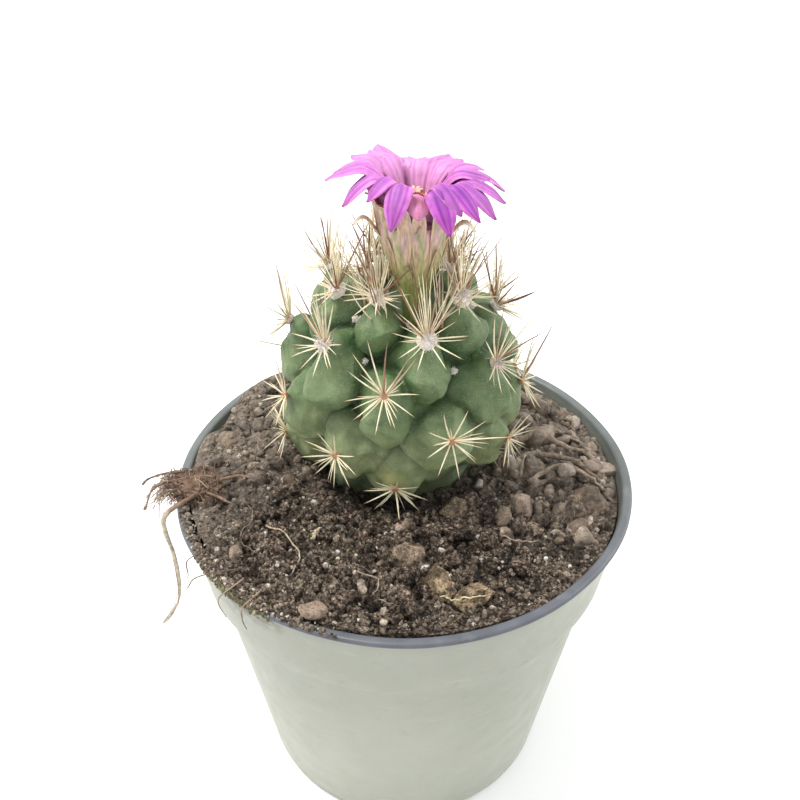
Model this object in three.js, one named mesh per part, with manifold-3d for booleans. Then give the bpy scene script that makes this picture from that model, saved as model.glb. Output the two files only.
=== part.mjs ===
// A small round cactus in flower, growing in a 10.5 cm round nursery pot.
// Millimetres, +Z up, origin at the centre of the pot's flat underside; -Y is the front.

import * as THREE from 'three';
import { mergeVertices } from 'three/addons/utils/BufferGeometryUtils.js';
import { LoftGeometry } from 'three/addons/geometries/LoftGeometry.js';
import Module from 'manifold-3d';

const wasm = await Module();
wasm.setup();

// Pot
const RIM_RADIUS = 52.5;
const POT_HEIGHT = 84;
const FOOT_RADIUS = 36.5;
const WALL = 0.9;
const LIP_WIDTH = 1.9;
const LIP_THICKNESS = 1.2;
const LIP_EDGE = 0.4;
const COLLAR_DEPTH = 20;
const COLLAR_DRAFT = 2.8;
const LEDGE_STEP = 2.2;
const LEDGE_HEIGHT = 1.4;
const FOOT_EDGE = 1.5;
const RECESS_INNER = 16.5;
const RECESS_OUTER = 31.5;
const RECESS_DEPTH = 1.5;
const FLOOR_TOP = 2.6;
const DRAIN_HOLES = 6;
const DRAIN_RADIUS = 3.5;
const DRAIN_CIRCLE = 24;
const POT_SIDES = 36;

// Clearance between neighbouring pieces
const GAP = 0.35;

// Soil
const SOIL_LEVEL = 82.4;
const SOIL_TILT = -0.015;
const SOIL_HEAP = 1.9;
const SOIL_EDGE_DROP = 0.4;
const SOIL_BUMP = 0.55;
const SOIL_RINGS = [48.8, 44, 37.5, 29];
const MOUND = { x: -33, y: 29, rise: 3.2, spread: 6.5 };
const DIP = { x: -43.5, y: 18.5, rise: -3, spread: 4 };
const HOLE_MARGIN = 0.35;

// Plant body: an ellipsoid through the spine cushions, leaning a little
const BODY_X = -0.86;
const BODY_Y = 10.5;
const BODY_LEAN_X = 0.0166;
const BODY_LEAN_Y = -0.0116;
const BODY_HALF_WIDTH = 27.1;
const BODY_HALF_HEIGHT = 30.4;
const BODY_MIDDLE = 104.5;
const STUMP_RADIUS = 19.4;
const STUMP_BOTTOM = 68;
const STUMP_TOP = 83.4;
const STUMP_SIDES = 24;

// Spiral of tubercles
const FIRST_TUBERCLE = -1;
const LAST_TUBERCLE = 31;
const FLOWER_PLACE = 30;
const TURN = 137.588;
const START_AZIMUTH = -136.58;
const FIRST_HEIGHT = 86.19;
const RISE = 2.27;
const RISE_LOSS = 0.35 / 36;
const CROWN_HEIGHT = 131.2;

// Tubercles that stand off the rule: rise and outward shift in mm, turn in degrees
const SHIFTS = {
  1: { rise: 1.5, turn: -4, outward: 0 },
  3: { rise: -3, turn: 0, outward: 1.5 },
  4: { rise: 1.5, turn: 6, outward: 1 },
  11: { rise: -1.5, turn: 0, outward: 1 },
  12: { rise: -3, turn: 0, outward: 0 },
  14: { rise: 3, turn: 2, outward: 0 },
  17: { rise: -0.8, turn: 8, outward: 0 },
  19: { rise: 1, turn: -2, outward: 0 },
  20: { rise: -2, turn: 0, outward: -2 },
  22: { rise: 0, turn: 2.5, outward: 0 },
  23: { rise: -3, turn: 0, outward: 0 },
  24: { rise: -0.5, turn: 0, outward: -3 },
  25: { rise: 0.8, turn: -17, outward: -0.5 },
  26: { rise: -4.5, turn: 0, outward: 0 },
  27: { rise: -0.6, turn: -2, outward: 0 },
  28: { rise: -2.5, turn: 0, outward: 0 },
  29: { rise: -2, turn: 0, outward: 0 },
  31: { rise: -2, turn: 0, outward: 0 },
};

// Spines
const SPINE_RADIUS = 0.4;
const CENTRAL_RADIUS = 0.45;
const SPINE_TOP = 147;
const SPINE_GAP = 0.3;
const SPINE_SIDES = 3;

// Flower
const FLOWER_X = 1.8;
const FLOWER_Y = 0;
const TUBE_BOTTOM = 125.5;
const TUBE_TOP = 147.4;
const CUP_RADIUS = 7.4;
const CUP_HEIGHT = 2.2;
const PETAL_THICKNESS = 0.7;
const PETAL_WIDTH = 5;
const STAMENS = 10;
const STIGMA_LOBES = 5;
const STIGMA_HEIGHT = 4.4;

const UP = new THREE.Vector3(0, 0, 1);
const DEG = Math.PI / 180;

// Seeded random numbers from 0 to 1
function makeRandom(seed) {
  let state = seed >>> 0;
  return () => {
    state = (state + 0x6d2b79f5) >>> 0;
    let t = state;
    t = Math.imul(t ^ (t >>> 15), t | 1);
    t ^= t + Math.imul(t ^ (t >>> 7), t | 61);
    return ((t ^ (t >>> 14)) >>> 0) / 4294967296;
  };
}

function vec(x, y, z) {
  return new THREE.Vector3(x, y, z);
}

function lerp(a, b, t) {
  return a + (b - a) * t;
}

function smoothstep(a, b, x) {
  const t = THREE.MathUtils.clamp((x - a) / (b - a), 0, 1);
  return t * t * (3 - 2 * t);
}

// Only the places and triangles of a geometry
function bare(geometry) {
  const plain = new THREE.BufferGeometry();
  plain.setAttribute('position', geometry.attributes.position);
  plain.setIndex(geometry.index);
  return plain;
}

// Geometry to solid and back
function toSolid(geometry) {
  const merged = mergeVertices(bare(geometry), 1e-4);
  const mesh = new wasm.Mesh({
    numProp: 3,
    vertProperties: new Float32Array(merged.attributes.position.array),
    triVerts: new Uint32Array(merged.index.array),
  });
  return new wasm.Manifold(mesh);
}

function toGeometry(solid) {
  const mesh = solid.getMesh();
  const geometry = new THREE.BufferGeometry();
  geometry.setAttribute('position', new THREE.BufferAttribute(new Float32Array(mesh.vertProperties), 3));
  geometry.setIndex(new THREE.BufferAttribute(new Uint32Array(mesh.triVerts), 1));
  return geometry;
}

function joined(solids) {
  return solids.reduce((whole, solid) => whole.add(solid));
}

// A turned solid about +Z from [radius, height] points, bottom first
function turned(points, sides) {
  const profile = points.map(([r, z]) => new THREE.Vector2(r, z));
  return new THREE.LatheGeometry(profile, sides).rotateX(Math.PI / 2);
}

// A tapered bar from a to b
function taper(a, b, radiusA, radiusB, sides) {
  const length = a.distanceTo(b);
  const bar = new THREE.CylinderGeometry(radiusB, radiusA, length, sides);
  const turn = new THREE.Quaternion().setFromUnitVectors(vec(0, 1, 0), b.clone().sub(a).normalize());
  bar.applyQuaternion(turn);
  const middle = a.clone().add(b).multiplyScalar(0.5);
  return bar.translate(middle.x, middle.y, middle.z);
}

// Pot: a thin tapered wall with a stepped collar, a flat lip and a recessed underside
const COLLAR_TOP = RIM_RADIUS - LIP_WIDTH + LIP_EDGE;
const COLLAR_BOTTOM = COLLAR_TOP - COLLAR_DRAFT;
const WAIST_RADIUS = COLLAR_BOTTOM - LEDGE_STEP;
const WAIST_HEIGHT = POT_HEIGHT - COLLAR_DEPTH - LEDGE_HEIGHT;

function potSolid() {
  const top = POT_HEIGHT;
  const under = top - LIP_THICKNESS;
  const ledge = top - COLLAR_DEPTH;
  const outline = [
    [0, 0],
    [RECESS_INNER, 0],
    [RECESS_INNER + RECESS_DEPTH, RECESS_DEPTH],
    [RECESS_OUTER - RECESS_DEPTH, RECESS_DEPTH],
    [RECESS_OUTER, 0],
    [FOOT_RADIUS - FOOT_EDGE, 0],
    [FOOT_RADIUS, FOOT_EDGE],
    [WAIST_RADIUS, WAIST_HEIGHT],
    [COLLAR_BOTTOM, ledge],
    [COLLAR_TOP, under],
    [RIM_RADIUS - LIP_EDGE, under],
    [RIM_RADIUS, under + LIP_EDGE],
    [RIM_RADIUS - LIP_EDGE, top],
    [COLLAR_TOP - LIP_EDGE, top],
    [COLLAR_TOP - WALL, top - LIP_EDGE],
    [COLLAR_BOTTOM - WALL, ledge],
    [WAIST_RADIUS - WALL, WAIST_HEIGHT],
    [FOOT_RADIUS - WALL, FLOOR_TOP],
    [0, FLOOR_TOP],
  ];
  let pot = toSolid(turned(outline, POT_SIDES));
  for (let i = 0; i < DRAIN_HOLES; i += 1) {
    const angle = (i / DRAIN_HOLES) * 2 * Math.PI;
    const hole = new THREE.CylinderGeometry(DRAIN_RADIUS, DRAIN_RADIUS, 3 * FLOOR_TOP, 8);
    hole.rotateX(Math.PI / 2);
    hole.translate(DRAIN_CIRCLE * Math.cos(angle), DRAIN_CIRCLE * Math.sin(angle), 0);
    pot = pot.subtract(toSolid(hole));
  }
  return pot;
}

// Height of the soil: heaped at the front and the left, with a mound and a dip by the left rim
function soilHeight(x, y) {
  const edge = smoothstep(36, 48, Math.hypot(x, y));
  const fromPlant = Math.hypot(x - BODY_X, y - BODY_Y);
  const wave = Math.sin(0.31 * x + 1.3) * Math.cos(0.27 * y - 0.4) + 0.6 * Math.sin(0.55 * x - 0.42 * y);
  const bumps = SOIL_BUMP * wave * smoothstep(24, 34, fromPlant);
  const heap = SOIL_HEAP * smoothstep(21, 36, fromPlant) * smoothstep(34, -12, x + 0.45 * y);
  const rises = [MOUND, DIP].map((rise) => {
    const away = Math.hypot(x - rise.x, y - rise.y) / rise.spread;
    return rise.rise * Math.exp(-0.5 * away * away);
  });
  return SOIL_LEVEL + SOIL_TILT * x + heap - SOIL_EDGE_DROP * edge + bumps + rises[0] + rises[1];
}

function soilSolid() {
  const inner = WALL + GAP;
  const brim = SOIL_LEVEL - 3;
  const up = (brim - POT_HEIGHT + COLLAR_DEPTH) / COLLAR_DEPTH;
  const outline = [
    [0, FLOOR_TOP + GAP],
    [FOOT_RADIUS - inner, FLOOR_TOP + GAP],
    [WAIST_RADIUS - inner, WAIST_HEIGHT],
    [COLLAR_BOTTOM - inner, POT_HEIGHT - COLLAR_DEPTH],
    [lerp(COLLAR_BOTTOM, COLLAR_TOP, up) - inner, brim],
    ...SOIL_RINGS.map((radius) => [radius, SOIL_LEVEL]),
    [0, SOIL_LEVEL],
  ];
  const geometry = turned(outline, POT_SIDES);
  const place = geometry.attributes.position;
  for (let i = 0; i < place.count; i += 1) {
    if (place.getZ(i) > brim + 1) {
      place.setZ(i, soilHeight(place.getX(i), place.getY(i)));
    }
  }
  return toSolid(geometry);
}

// The plain hole in the soil, and the stump that stands in it, differ by a margin
function stumpOutline(margin) {
  return [
    [0, STUMP_BOTTOM - margin],
    [10 + margin, STUMP_BOTTOM + 1 - margin],
    [17 + margin, STUMP_BOTTOM + 6 - margin],
    [STUMP_RADIUS + margin, STUMP_BOTTOM + 12],
    [STUMP_RADIUS + margin, STUMP_TOP],
  ];
}

function stumpSolid(margin, cap) {
  const outline = stumpOutline(margin);
  const shape = turned([...outline, ...cap], STUMP_SIDES);
  return toSolid(shape.translate(BODY_X, BODY_Y, 0));
}

// Signed distance from a point to two balls and the cone that joins them
function roundConeDistance(p, a, b, radiusA, radiusB) {
  const ba = b.clone().sub(a);
  const pa = p.clone().sub(a);
  const span = ba.lengthSq();
  const slope = radiusA - radiusB;
  const reach = span - slope * slope;
  const along = pa.dot(ba);
  const beyond = along - span;
  const side = pa.clone().multiplyScalar(span).sub(ba.clone().multiplyScalar(along)).lengthSq();
  const back = along * along * span;
  const front = beyond * beyond * span;
  const k = Math.sign(slope) * slope * slope * side;
  if (Math.sign(beyond) * reach * front > k) {
    return Math.sqrt(side + front) / span - radiusB;
  }
  if (Math.sign(along) * reach * back < k) {
    return Math.sqrt(side + back) / span - radiusA;
  }
  return (Math.sqrt((side * reach) / span) + along * slope) / span - radiusA;
}

function smoothMin(a, b, blend) {
  const h = Math.max(blend - Math.abs(a - b), 0) / blend;
  return Math.min(a, b) - h * h * blend * 0.25;
}

// Where the spiral puts one spine cushion, and the directions around it
function cushion(number) {
  const { rise, turn, outward } = SHIFTS[number] ?? { rise: 0, turn: 0, outward: 0 };
  const rule = FIRST_HEIGHT + RISE * number * (1 - RISE_LOSS * Math.max(number, 0));
  const level = Math.min((rule - BODY_MIDDLE) / BODY_HALF_HEIGHT, 0.985);
  const radius = BODY_HALF_WIDTH * Math.sqrt(1 - level * level) + outward;
  const azimuth = (START_AZIMUTH + TURN * number + turn) * DEG;
  const away = vec(Math.sin(azimuth), -Math.cos(azimuth), 0);
  const z = Math.min(rule, CROWN_HEIGHT - 0.25 * (number - 27)) + rise;
  const x = BODY_X + BODY_LEAN_X * (z - 82) + radius * away.x;
  const y = BODY_Y + BODY_LEAN_Y * (z - 82) + radius * away.y;
  const normal = away.multiplyScalar(radius / BODY_HALF_WIDTH ** 2);
  normal.z = level / BODY_HALF_HEIGHT;
  normal.normalize();
  const meridian = UP.clone().sub(normal.clone().multiplyScalar(normal.z)).normalize();
  const facing = normal.clone().addScaledVector(UP, 0.22).normalize();
  const upward = meridian.clone().addScaledVector(facing, -meridian.dot(facing)).normalize();
  const sideways = upward.clone().cross(facing);
  const age = Math.max(number, 0) / LAST_TUBERCLE;
  return { number, age, tip: vec(x, y, z), normal, meridian, facing, upward, sideways };
}

// One tubercle: a blunt tip, a chin that hangs below it, and a root sunk in the core.
// Low ones are broad, those of the middle long and narrow, those of the crown small.
function makeTubercle(number) {
  const place = cushion(number);
  const middle = smoothstep(0.28, 0.46, place.age);
  const crown = smoothstep(0.6, 1, place.age);
  const blend = (low, mid, top) => lerp(lerp(low, mid, middle), top, crown);
  const tipRadius = blend(3.2, 2.8, 2.1);
  const chinRadius = blend(6.4, 5.3, 3.4);
  const rootRadius = blend(8.6, 7, 4.6);
  const drop = blend(4.2, 7.4, 4.6);
  const sunk = lerp(1.6, 3.4, middle);
  const tipBall = place.tip.clone().addScaledVector(place.facing, -tipRadius);
  const chin = place.tip.clone().addScaledVector(place.normal, -chinRadius - 0.2);
  chin.addScaledVector(place.meridian, -drop);
  const root = place.tip.clone().addScaledVector(place.normal, -rootRadius - sunk);
  root.addScaledVector(place.meridian, -sunk);
  return { ...place, tipBall, chin, root, tipRadius, chinRadius, rootRadius };
}

function tubercleDistance(p, t) {
  const nose = roundConeDistance(p, t.tipBall, t.chin, t.tipRadius, t.chinRadius);
  const stem = roundConeDistance(p, t.chin, t.root, t.chinRadius, t.rootRadius);
  const neck = roundConeDistance(p, t.tipBall, t.root, t.tipRadius, t.rootRadius);
  return smoothMin(smoothMin(nose, stem, 2), neck, 2);
}

// The tubercle's own surface, found along each direction from a point inside it
function tubercleSolid(t) {
  const ball = mergeVertices(bare(new THREE.OctahedronGeometry(1, 3)));
  const inner = t.chin.clone().lerp(t.root, 0.5);
  const towardsTip = t.tip.clone().sub(inner).normalize();
  ball.applyQuaternion(new THREE.Quaternion().setFromUnitVectors(UP, towardsTip));
  const place = ball.attributes.position;
  for (let i = 0; i < place.count; i += 1) {
    const direction = vec(place.getX(i), place.getY(i), place.getZ(i)).normalize();
    let near = 0;
    let far = 4 * t.rootRadius;
    for (let step = 0; step < 22; step += 1) {
      const middle = (near + far) / 2;
      const inside = tubercleDistance(inner.clone().addScaledVector(direction, middle), t) < 0;
      near = inside ? middle : near;
      far = inside ? far : middle;
    }
    const point = inner.clone().addScaledVector(direction, near);
    place.setXYZ(i, point.x, point.y, point.z);
  }
  return toSolid(ball);
}

function coreSolid() {
  const core = new THREE.SphereGeometry(1, 14, 8).rotateX(Math.PI / 2);
  core.scale(BODY_HALF_WIDTH - 7, BODY_HALF_WIDTH - 7, BODY_HALF_HEIGHT - 8);
  return toSolid(core.translate(BODY_X, BODY_Y, BODY_MIDDLE));
}

// The flower stands in the place of one tubercle of the crown
const TUBERCLES = [];
for (let number = FIRST_TUBERCLE; number <= LAST_TUBERCLE; number += 1) {
  if (number !== FLOWER_PLACE) {
    TUBERCLES.push(makeTubercle(number));
  }
}

function bodySolid() {
  const stump = stumpSolid(0, [[0, STUMP_TOP + 8]]);
  const flare = stumpSolid(0, [[44, STUMP_TOP + 20], [44, 160], [0, 160]]);
  const whole = joined([coreSolid(), stump, ...TUBERCLES.map(tubercleSolid)]);
  return whole.intersect(flare).subtract(flowerSocket());
}

// The seat of the flower in the crown, a little wider than the foot of its tube
function flowerSocket() {
  const side = TUBE_OUTLINE.slice(1, -1).map(([radius, z]) => [radius + GAP, z]);
  const bottom = TUBE_BOTTOM - GAP;
  const socket = turned([[0, bottom], [side[0][0], bottom], ...side, [0, TUBE_TOP]], 16);
  return toSolid(socket.translate(FLOWER_X, FLOWER_Y, 0));
}

// Everything already standing, as tapered bars, so that a new spine can keep clear of it
const standing = [];

function bar(a, b, radiusA, radiusB, owner) {
  return { a, b, radiusA, radiusB, owner };
}

function segmentGap(one, two) {
  const steps = 10;
  let least = Infinity;
  const line = new THREE.Line3(two.a, two.b);
  const point = vec(0, 0, 0);
  const foot = vec(0, 0, 0);
  for (let i = 0; i <= steps; i += 1) {
    const t = i / steps;
    point.lerpVectors(one.a, one.b, t);
    const s = line.closestPointToPointParameter(point, true);
    line.at(s, foot);
    const thick = lerp(one.radiusA, one.radiusB, t) + lerp(two.radiusA, two.radiusB, s);
    least = Math.min(least, point.distanceTo(foot) - thick);
  }
  return least;
}

function clearOfBars(spine) {
  return standing.every((other) => other.owner === spine.owner || segmentGap(spine, other) > SPINE_GAP
    && segmentGap(other, spine) > SPINE_GAP);
}

function clearOfPlant(spine) {
  const steps = 14;
  const point = vec(0, 0, 0);
  for (let i = 2; i <= steps; i += 1) {
    const t = i / steps;
    point.lerpVectors(spine.a, spine.b, t);
    const need = lerp(spine.radiusA, spine.radiusB, t) + SPINE_GAP;
    const ground = soilHeight(point.x, point.y) + SOIL_BUMP;
    if (point.z - need < ground) {
      return false;
    }
    if (TUBERCLES.some((t) => point.distanceTo(t.chin) < 22 && tubercleDistance(point, t) < need)) {
      return false;
    }
  }
  return true;
}

// Stones half sunk in the soil: x, y, half sizes, turn in degrees, colour
const STONES = [
  { name: 'stone_large_right', x: 42, y: -8.5, size: [5.2, 4.4, 3.8], turn: 60, colour: 0x8a6f5c },
  { name: 'stone_grey_front', x: 11.4, y: -12.5, size: [3.6, 3, 2.8], turn: 20, colour: 0x8d8478 },
  { name: 'stone_tan_front', x: 6.8, y: -37.2, size: [4, 3.6, 2.8], turn: -15, colour: 0xa08862 },
  { name: 'stone_tan_rim', x: 14.8, y: -39.5, size: [4.6, 3, 2.4], turn: 25, colour: 0xa5855c },
  { name: 'stone_brown_middle', x: 0.6, y: -29, size: [3.6, 3.2, 2.8], turn: 40, colour: 0x7d6d55 },
  { name: 'stone_pale_left', x: -42.5, y: 9.5, size: [4.2, 3.2, 2.2], turn: 30, colour: 0x9c8a79 },
  { name: 'stone_brown_right', x: 30.5, y: 2.5, size: [4.2, 3.4, 3], turn: 80, colour: 0x86705f },
  { name: 'stone_far_right', x: 38, y: 17, size: [3.6, 2.8, 2.2], turn: -50, colour: 0x8f8069 },
];

function stoneShape(stone, swell) {
  const random = makeRandom(Math.round(stone.x * 10) + 977);
  const ball = mergeVertices(bare(new THREE.IcosahedronGeometry(1, 1)));
  const place = ball.attributes.position;
  const [halfX, halfY, halfZ] = stone.size;
  for (let i = 0; i < place.count; i += 1) {
    const chip = 1 - 0.16 * random();
    const x = place.getX(i) * (halfX * chip + swell);
    const y = place.getY(i) * (halfY * chip + swell);
    const z = place.getZ(i) * (halfZ * chip + swell);
    place.setXYZ(i, x, y, z);
  }
  ball.rotateZ(stone.turn * DEG);
  return ball.translate(stone.x, stone.y, soilHeight(stone.x, stone.y) + 0.2 * halfZ);
}

// Flower tube: a narrow foot that widens to a funnel, with sepals standing out of it
const TUBE_OUTLINE = [
  [0, TUBE_BOTTOM],
  [2.1, TUBE_BOTTOM],
  [2.7, TUBE_BOTTOM + 5],
  [4.3, TUBE_BOTTOM + 10],
  [6, TUBE_BOTTOM + 15.5],
  [7.3, TUBE_TOP],
  [0, TUBE_TOP],
];

// A thin leaf through stations of [outward, height, width], turned about the flower's axis
function blade(stations, azimuth, thickness) {
  const outward = vec(Math.sin(azimuth), -Math.cos(azimuth), 0);
  const across = vec(Math.cos(azimuth), Math.sin(azimuth), 0);
  const path = stations.map(([r, z]) => vec(FLOWER_X, FLOWER_Y, z).addScaledVector(outward, r));
  const sections = path.map((point, i) => {
    const ahead = path[Math.min(i + 1, path.length - 1)];
    const behind = path[Math.max(i - 1, 0)];
    const along = ahead.clone().sub(behind).normalize();
    const lift = across.clone().cross(along).multiplyScalar(thickness / 2);
    const half = across.clone().multiplyScalar(stations[i][2] / 2);
    return [
      point.clone().add(half).sub(lift),
      point.clone().sub(half).sub(lift),
      point.clone().sub(half).add(lift),
      point.clone().add(half).add(lift),
    ];
  });
  return toSolid(new LoftGeometry(sections, { closed: true, capStart: true, capEnd: true }));
}

const SEPALS = [
  { azimuth: -75, stations: [[5.5, 143, 2.6], [8.2, 147.6, 2.4], [10.4, 150, 1.8], [12.3, 148.4, 0.9]] },
  { azimuth: 72, stations: [[5.5, 143, 2.6], [8.3, 147.4, 2.6], [10.5, 149.3, 2], [12.4, 147.2, 0.9]] },
  { azimuth: 160, stations: [[5.5, 143, 2.6], [8.3, 147.2, 2.4], [10.3, 149.6, 2], [12.4, 148.6, 0.9]] },
  { azimuth: -150, stations: [[5.5, 143, 2.6], [8.3, 147.2, 2.4], [10.1, 149.3, 2], [12, 147.9, 0.9]] },
];

function flowerTubeSolid() {
  const tube = toSolid(turned(TUBE_OUTLINE, 16).translate(FLOWER_X, FLOWER_Y, 0));
  const sepals = SEPALS.map(({ azimuth, stations }) => blade(stations, azimuth * DEG, PETAL_THICKNESS));
  return joined([tube, ...sepals]);
}

// Petals of each row: degrees from the front, reach, height of the arch, height of the tip
const OUTER_PETALS = [
  [-85, 17.2, 159.2, 156.8],
  [-68, 14.8, 158.6, 153.3],
  [-18, 14.5, 158.8, 152.2],
  [3, 12.4, 156.4, 153.8],
  [25, 15.3, 157.8, 151.3],
  [49, 16, 157.8, 152.4],
  [66, 16.8, 157.4, 151.3],
  [82, 17.6, 157.2, 152.6],
  [101, 18, 157.4, 152.4],
  [123, 16.6, 157.2, 154.4],
  [153, 16, 156.7, 155.4],
  [-176, 15, 156.2, 154.6],
  [-152, 16, 157.4, 157.8],
  [-128, 16, 158.4, 157],
  [-107, 16.4, 158.8, 155.6],
];
const INNER_PETALS = [
  [-92, 15.6, 159, 157.2],
  [-46, 12.4, 159, 155.7],
  [38, 14, 158.2, 154],
  [92, 14.4, 157.8, 156.2],
  [138, 14.4, 157, 156],
  [170, 13.6, 156.4, 155.2],
  [-140, 14.2, 158, 157.8],
];

// A petal rises from the cup, arches over and points down
function petalStations(row, [, reach, crown, tip]) {
  const foot = TUBE_TOP + GAP + 0.9;
  return [
    [lerp(5.2, 3.6, row), foot, 2.6],
    [lerp(6.9, 5.2, row), lerp(foot, crown, 0.66), 3.6],
    [0.58 * reach, crown, PETAL_WIDTH],
    [0.84 * reach, lerp(crown, tip, 0.42), 0.92 * PETAL_WIDTH],
    [reach, tip, 1.4],
  ];
}

function petalSolid() {
  const bottom = TUBE_TOP + GAP;
  const cup = turned([
    [0, bottom],
    [CUP_RADIUS, bottom],
    [CUP_RADIUS, bottom + 0.6 * CUP_HEIGHT],
    [0.8 * CUP_RADIUS, bottom + CUP_HEIGHT],
    [0.62 * CUP_RADIUS, bottom + 0.6 * CUP_HEIGHT],
    [0, bottom + 0.6 * CUP_HEIGHT],
  ], 16);
  const solids = [toSolid(cup.translate(FLOWER_X, FLOWER_Y, 0))];
  [OUTER_PETALS, INNER_PETALS].forEach((petals, row) => {
    for (const petal of petals) {
      solids.push(blade(petalStations(row, petal), petal[0] * DEG, PETAL_THICKNESS));
    }
  });
  return joined(solids);
}

// Stamens: short leaning threads on a low ring in the cup
const CUP_FLOOR = TUBE_TOP + GAP + 0.6 * CUP_HEIGHT;

function stamenSolid() {
  const bottom = CUP_FLOOR + GAP;
  const top = bottom + 0.9;
  const ring = turned([[1.5, bottom], [3.2, bottom], [3.2, top], [1.5, top], [1.5, bottom]], 12);
  const solids = [toSolid(ring.translate(FLOWER_X, FLOWER_Y, 0))];
  const random = makeRandom(7);
  for (let i = 0; i < STAMENS; i += 1) {
    const angle = ((i + 0.3 * random()) / STAMENS) * 2 * Math.PI;
    const direction = vec(Math.cos(angle), Math.sin(angle), 0);
    const foot = vec(FLOWER_X, FLOWER_Y, bottom + 0.4).addScaledVector(direction, 2.4);
    const head = vec(FLOWER_X, FLOWER_Y, bottom + lerp(3.4, 4.4, random())).addScaledVector(direction, 2.9);
    solids.push(toSolid(taper(foot, head, 0.3, 0.42, 4)));
  }
  return joined(solids);
}

// Stigma: a thin column with a small star of lobes
function stigmaSolid() {
  const foot = vec(FLOWER_X, FLOWER_Y, CUP_FLOOR + GAP);
  const head = foot.clone().addScaledVector(UP, STIGMA_HEIGHT);
  const solids = [toSolid(taper(foot, head, 0.7, 0.6, 6))];
  for (let i = 0; i < STIGMA_LOBES; i += 1) {
    const angle = (i / STIGMA_LOBES) * 2 * Math.PI;
    const end = head.clone().add(vec(1.5 * Math.cos(angle), 1.5 * Math.sin(angle), 0.7));
    const start = head.clone().addScaledVector(UP, -0.4);
    solids.push(toSolid(taper(start, end, 0.4, 0.3, 4)));
  }
  return joined(solids);
}

// Dry roots: a matted pad on the rim at the left, a long root that hangs outside, and threads
const ROOT_PAD = { x: -47.6, y: -8, z: 86.05, halfX: 7.2, halfY: 5.4, halfZ: 1.6, turn: 14 };
const ROOT_THREADS = [
  { radius: 0.75, points: [[-46.5, -12, 86.6], [-49.6, -15.6, 86.8], [-52.2, -17.6, 85.6], [-52.8, -18, 82],
    [-51.9, -18, 73], [-52.2, -18, 63.7], [-53.6, -18, 57.5], [-57.4, -18, 51]] },
  { radius: 0.6, points: [[-50, -7, 86.6], [-55, -8.6, 86.8], [-57.6, -10.4, 85.2], [-58.8, -11.6, 81.6]] },
  { radius: 0.5, points: [[-50, -4, 86.6], [-54.6, -5.2, 87], [-57.6, -6.2, 86.6], [-59.6, -7.4, 85.4]] },
  { radius: 0.5, points: [[-44, -11, 86.6], [-40.6, -14, 87.2], [-37.6, -15.4, 87]] },
  { radius: 0.5, points: [[-42, -7, 86.8], [-37.6, -6.2, 87.2], [-33.6, -6.6, 86.8]] },
];

function rootPadShape(swell) {
  const { x, y, z, halfX, halfY, halfZ, turn } = ROOT_PAD;
  const pad = new THREE.IcosahedronGeometry(1, 1);
  pad.scale(halfX + swell, halfY + swell, halfZ + swell).rotateZ(turn * DEG);
  return toSolid(pad.translate(x, y, z));
}

function dryRootSolid() {
  const solids = [rootPadShape(0)];
  for (const { radius, points } of ROOT_THREADS) {
    const line = new THREE.CatmullRomCurve3(points.map(([x, y, z]) => vec(x, y, z)));
    const corners = [0, 1, 2, 3].map((i) => new THREE.Vector2(
      radius * Math.cos((i * Math.PI) / 2),
      radius * Math.sin((i * Math.PI) / 2),
    ));
    const thread = new THREE.ExtrudeGeometry(new THREE.Shape(corners), {
      steps: Math.round(1.4 * points.length),
      extrudePath: line,
      bevelEnabled: false,
    });
    solids.push(toSolid(thread));
  }
  return joined(solids);
}

// Spines of one cushion: even radials, tall ones that turn upward on the young cushions,
// and darker centrals
function spineWishes(place, random) {
  const wishes = [];
  const young = smoothstep(0.2, 0.5, place.age);
  const count = place.age < 0.36 ? 9 : 10;
  const offset = random() * 0.6;
  for (let i = 0; i < count; i += 1) {
    const around = ((i + offset + 0.25 * random()) / count) * 2 * Math.PI;
    const erect = young * Math.max(0, Math.cos(around));
    const length = lerp(7.4, 8.4, place.age) * (1 + 0.85 * erect) * lerp(0.92, 1.08, random());
    const lift = lerp(14, 20, place.age) + 20 * erect;
    wishes.push({ around, lift, length, erect, radius: SPINE_RADIUS });
  }
  const centrals = place.age < 0.2 ? 0 : place.age < 0.45 ? 1 : 2;
  for (let i = 0; i < centrals; i += 1) {
    const around = (i === 0 ? 1 : -1) * lerp(0.5, 1.5, random());
    const lift = lerp(30, 56, random());
    const length = lerp(11, 15, random());
    wishes.push({ around, lift, length, erect: 0.35 * young, radius: CENTRAL_RADIUS });
  }
  return wishes;
}

function spineBar(place, seat, wish, turn, lift, shrink) {
  const around = wish.around + turn;
  const flat = place.upward.clone().multiplyScalar(Math.cos(around));
  flat.addScaledVector(place.sideways, Math.sin(around));
  const direction = flat.multiplyScalar(Math.cos(lift)).addScaledVector(place.facing, Math.sin(lift));
  direction.addScaledVector(UP, 0.9 * wish.erect).normalize();
  const room = direction.z > 0.05 ? (SPINE_TOP - seat.z) / direction.z : Infinity;
  const end = seat.clone().addScaledVector(direction, Math.min(wish.length * shrink, room));
  return bar(seat, end, wish.radius, 0.04, place.number);
}

// The first turn, lift and length at which a spine stands clear of all that is there
function placeSpine(place, seat, wish) {
  for (const shrink of [1, 0.85, 0.7]) {
    for (let rise = 0; rise < 10; rise += 1) {
      for (const turn of [0, 0.16, -0.16, 0.32, -0.32]) {
        const lift = Math.min((wish.lift + 6 * rise) * DEG, 86 * DEG);
        const spine = spineBar(place, seat, wish, turn, lift, shrink);
        if (clearOfPlant(spine) && clearOfBars(spine)) {
          return spine;
        }
      }
    }
  }
  return null;
}

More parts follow.
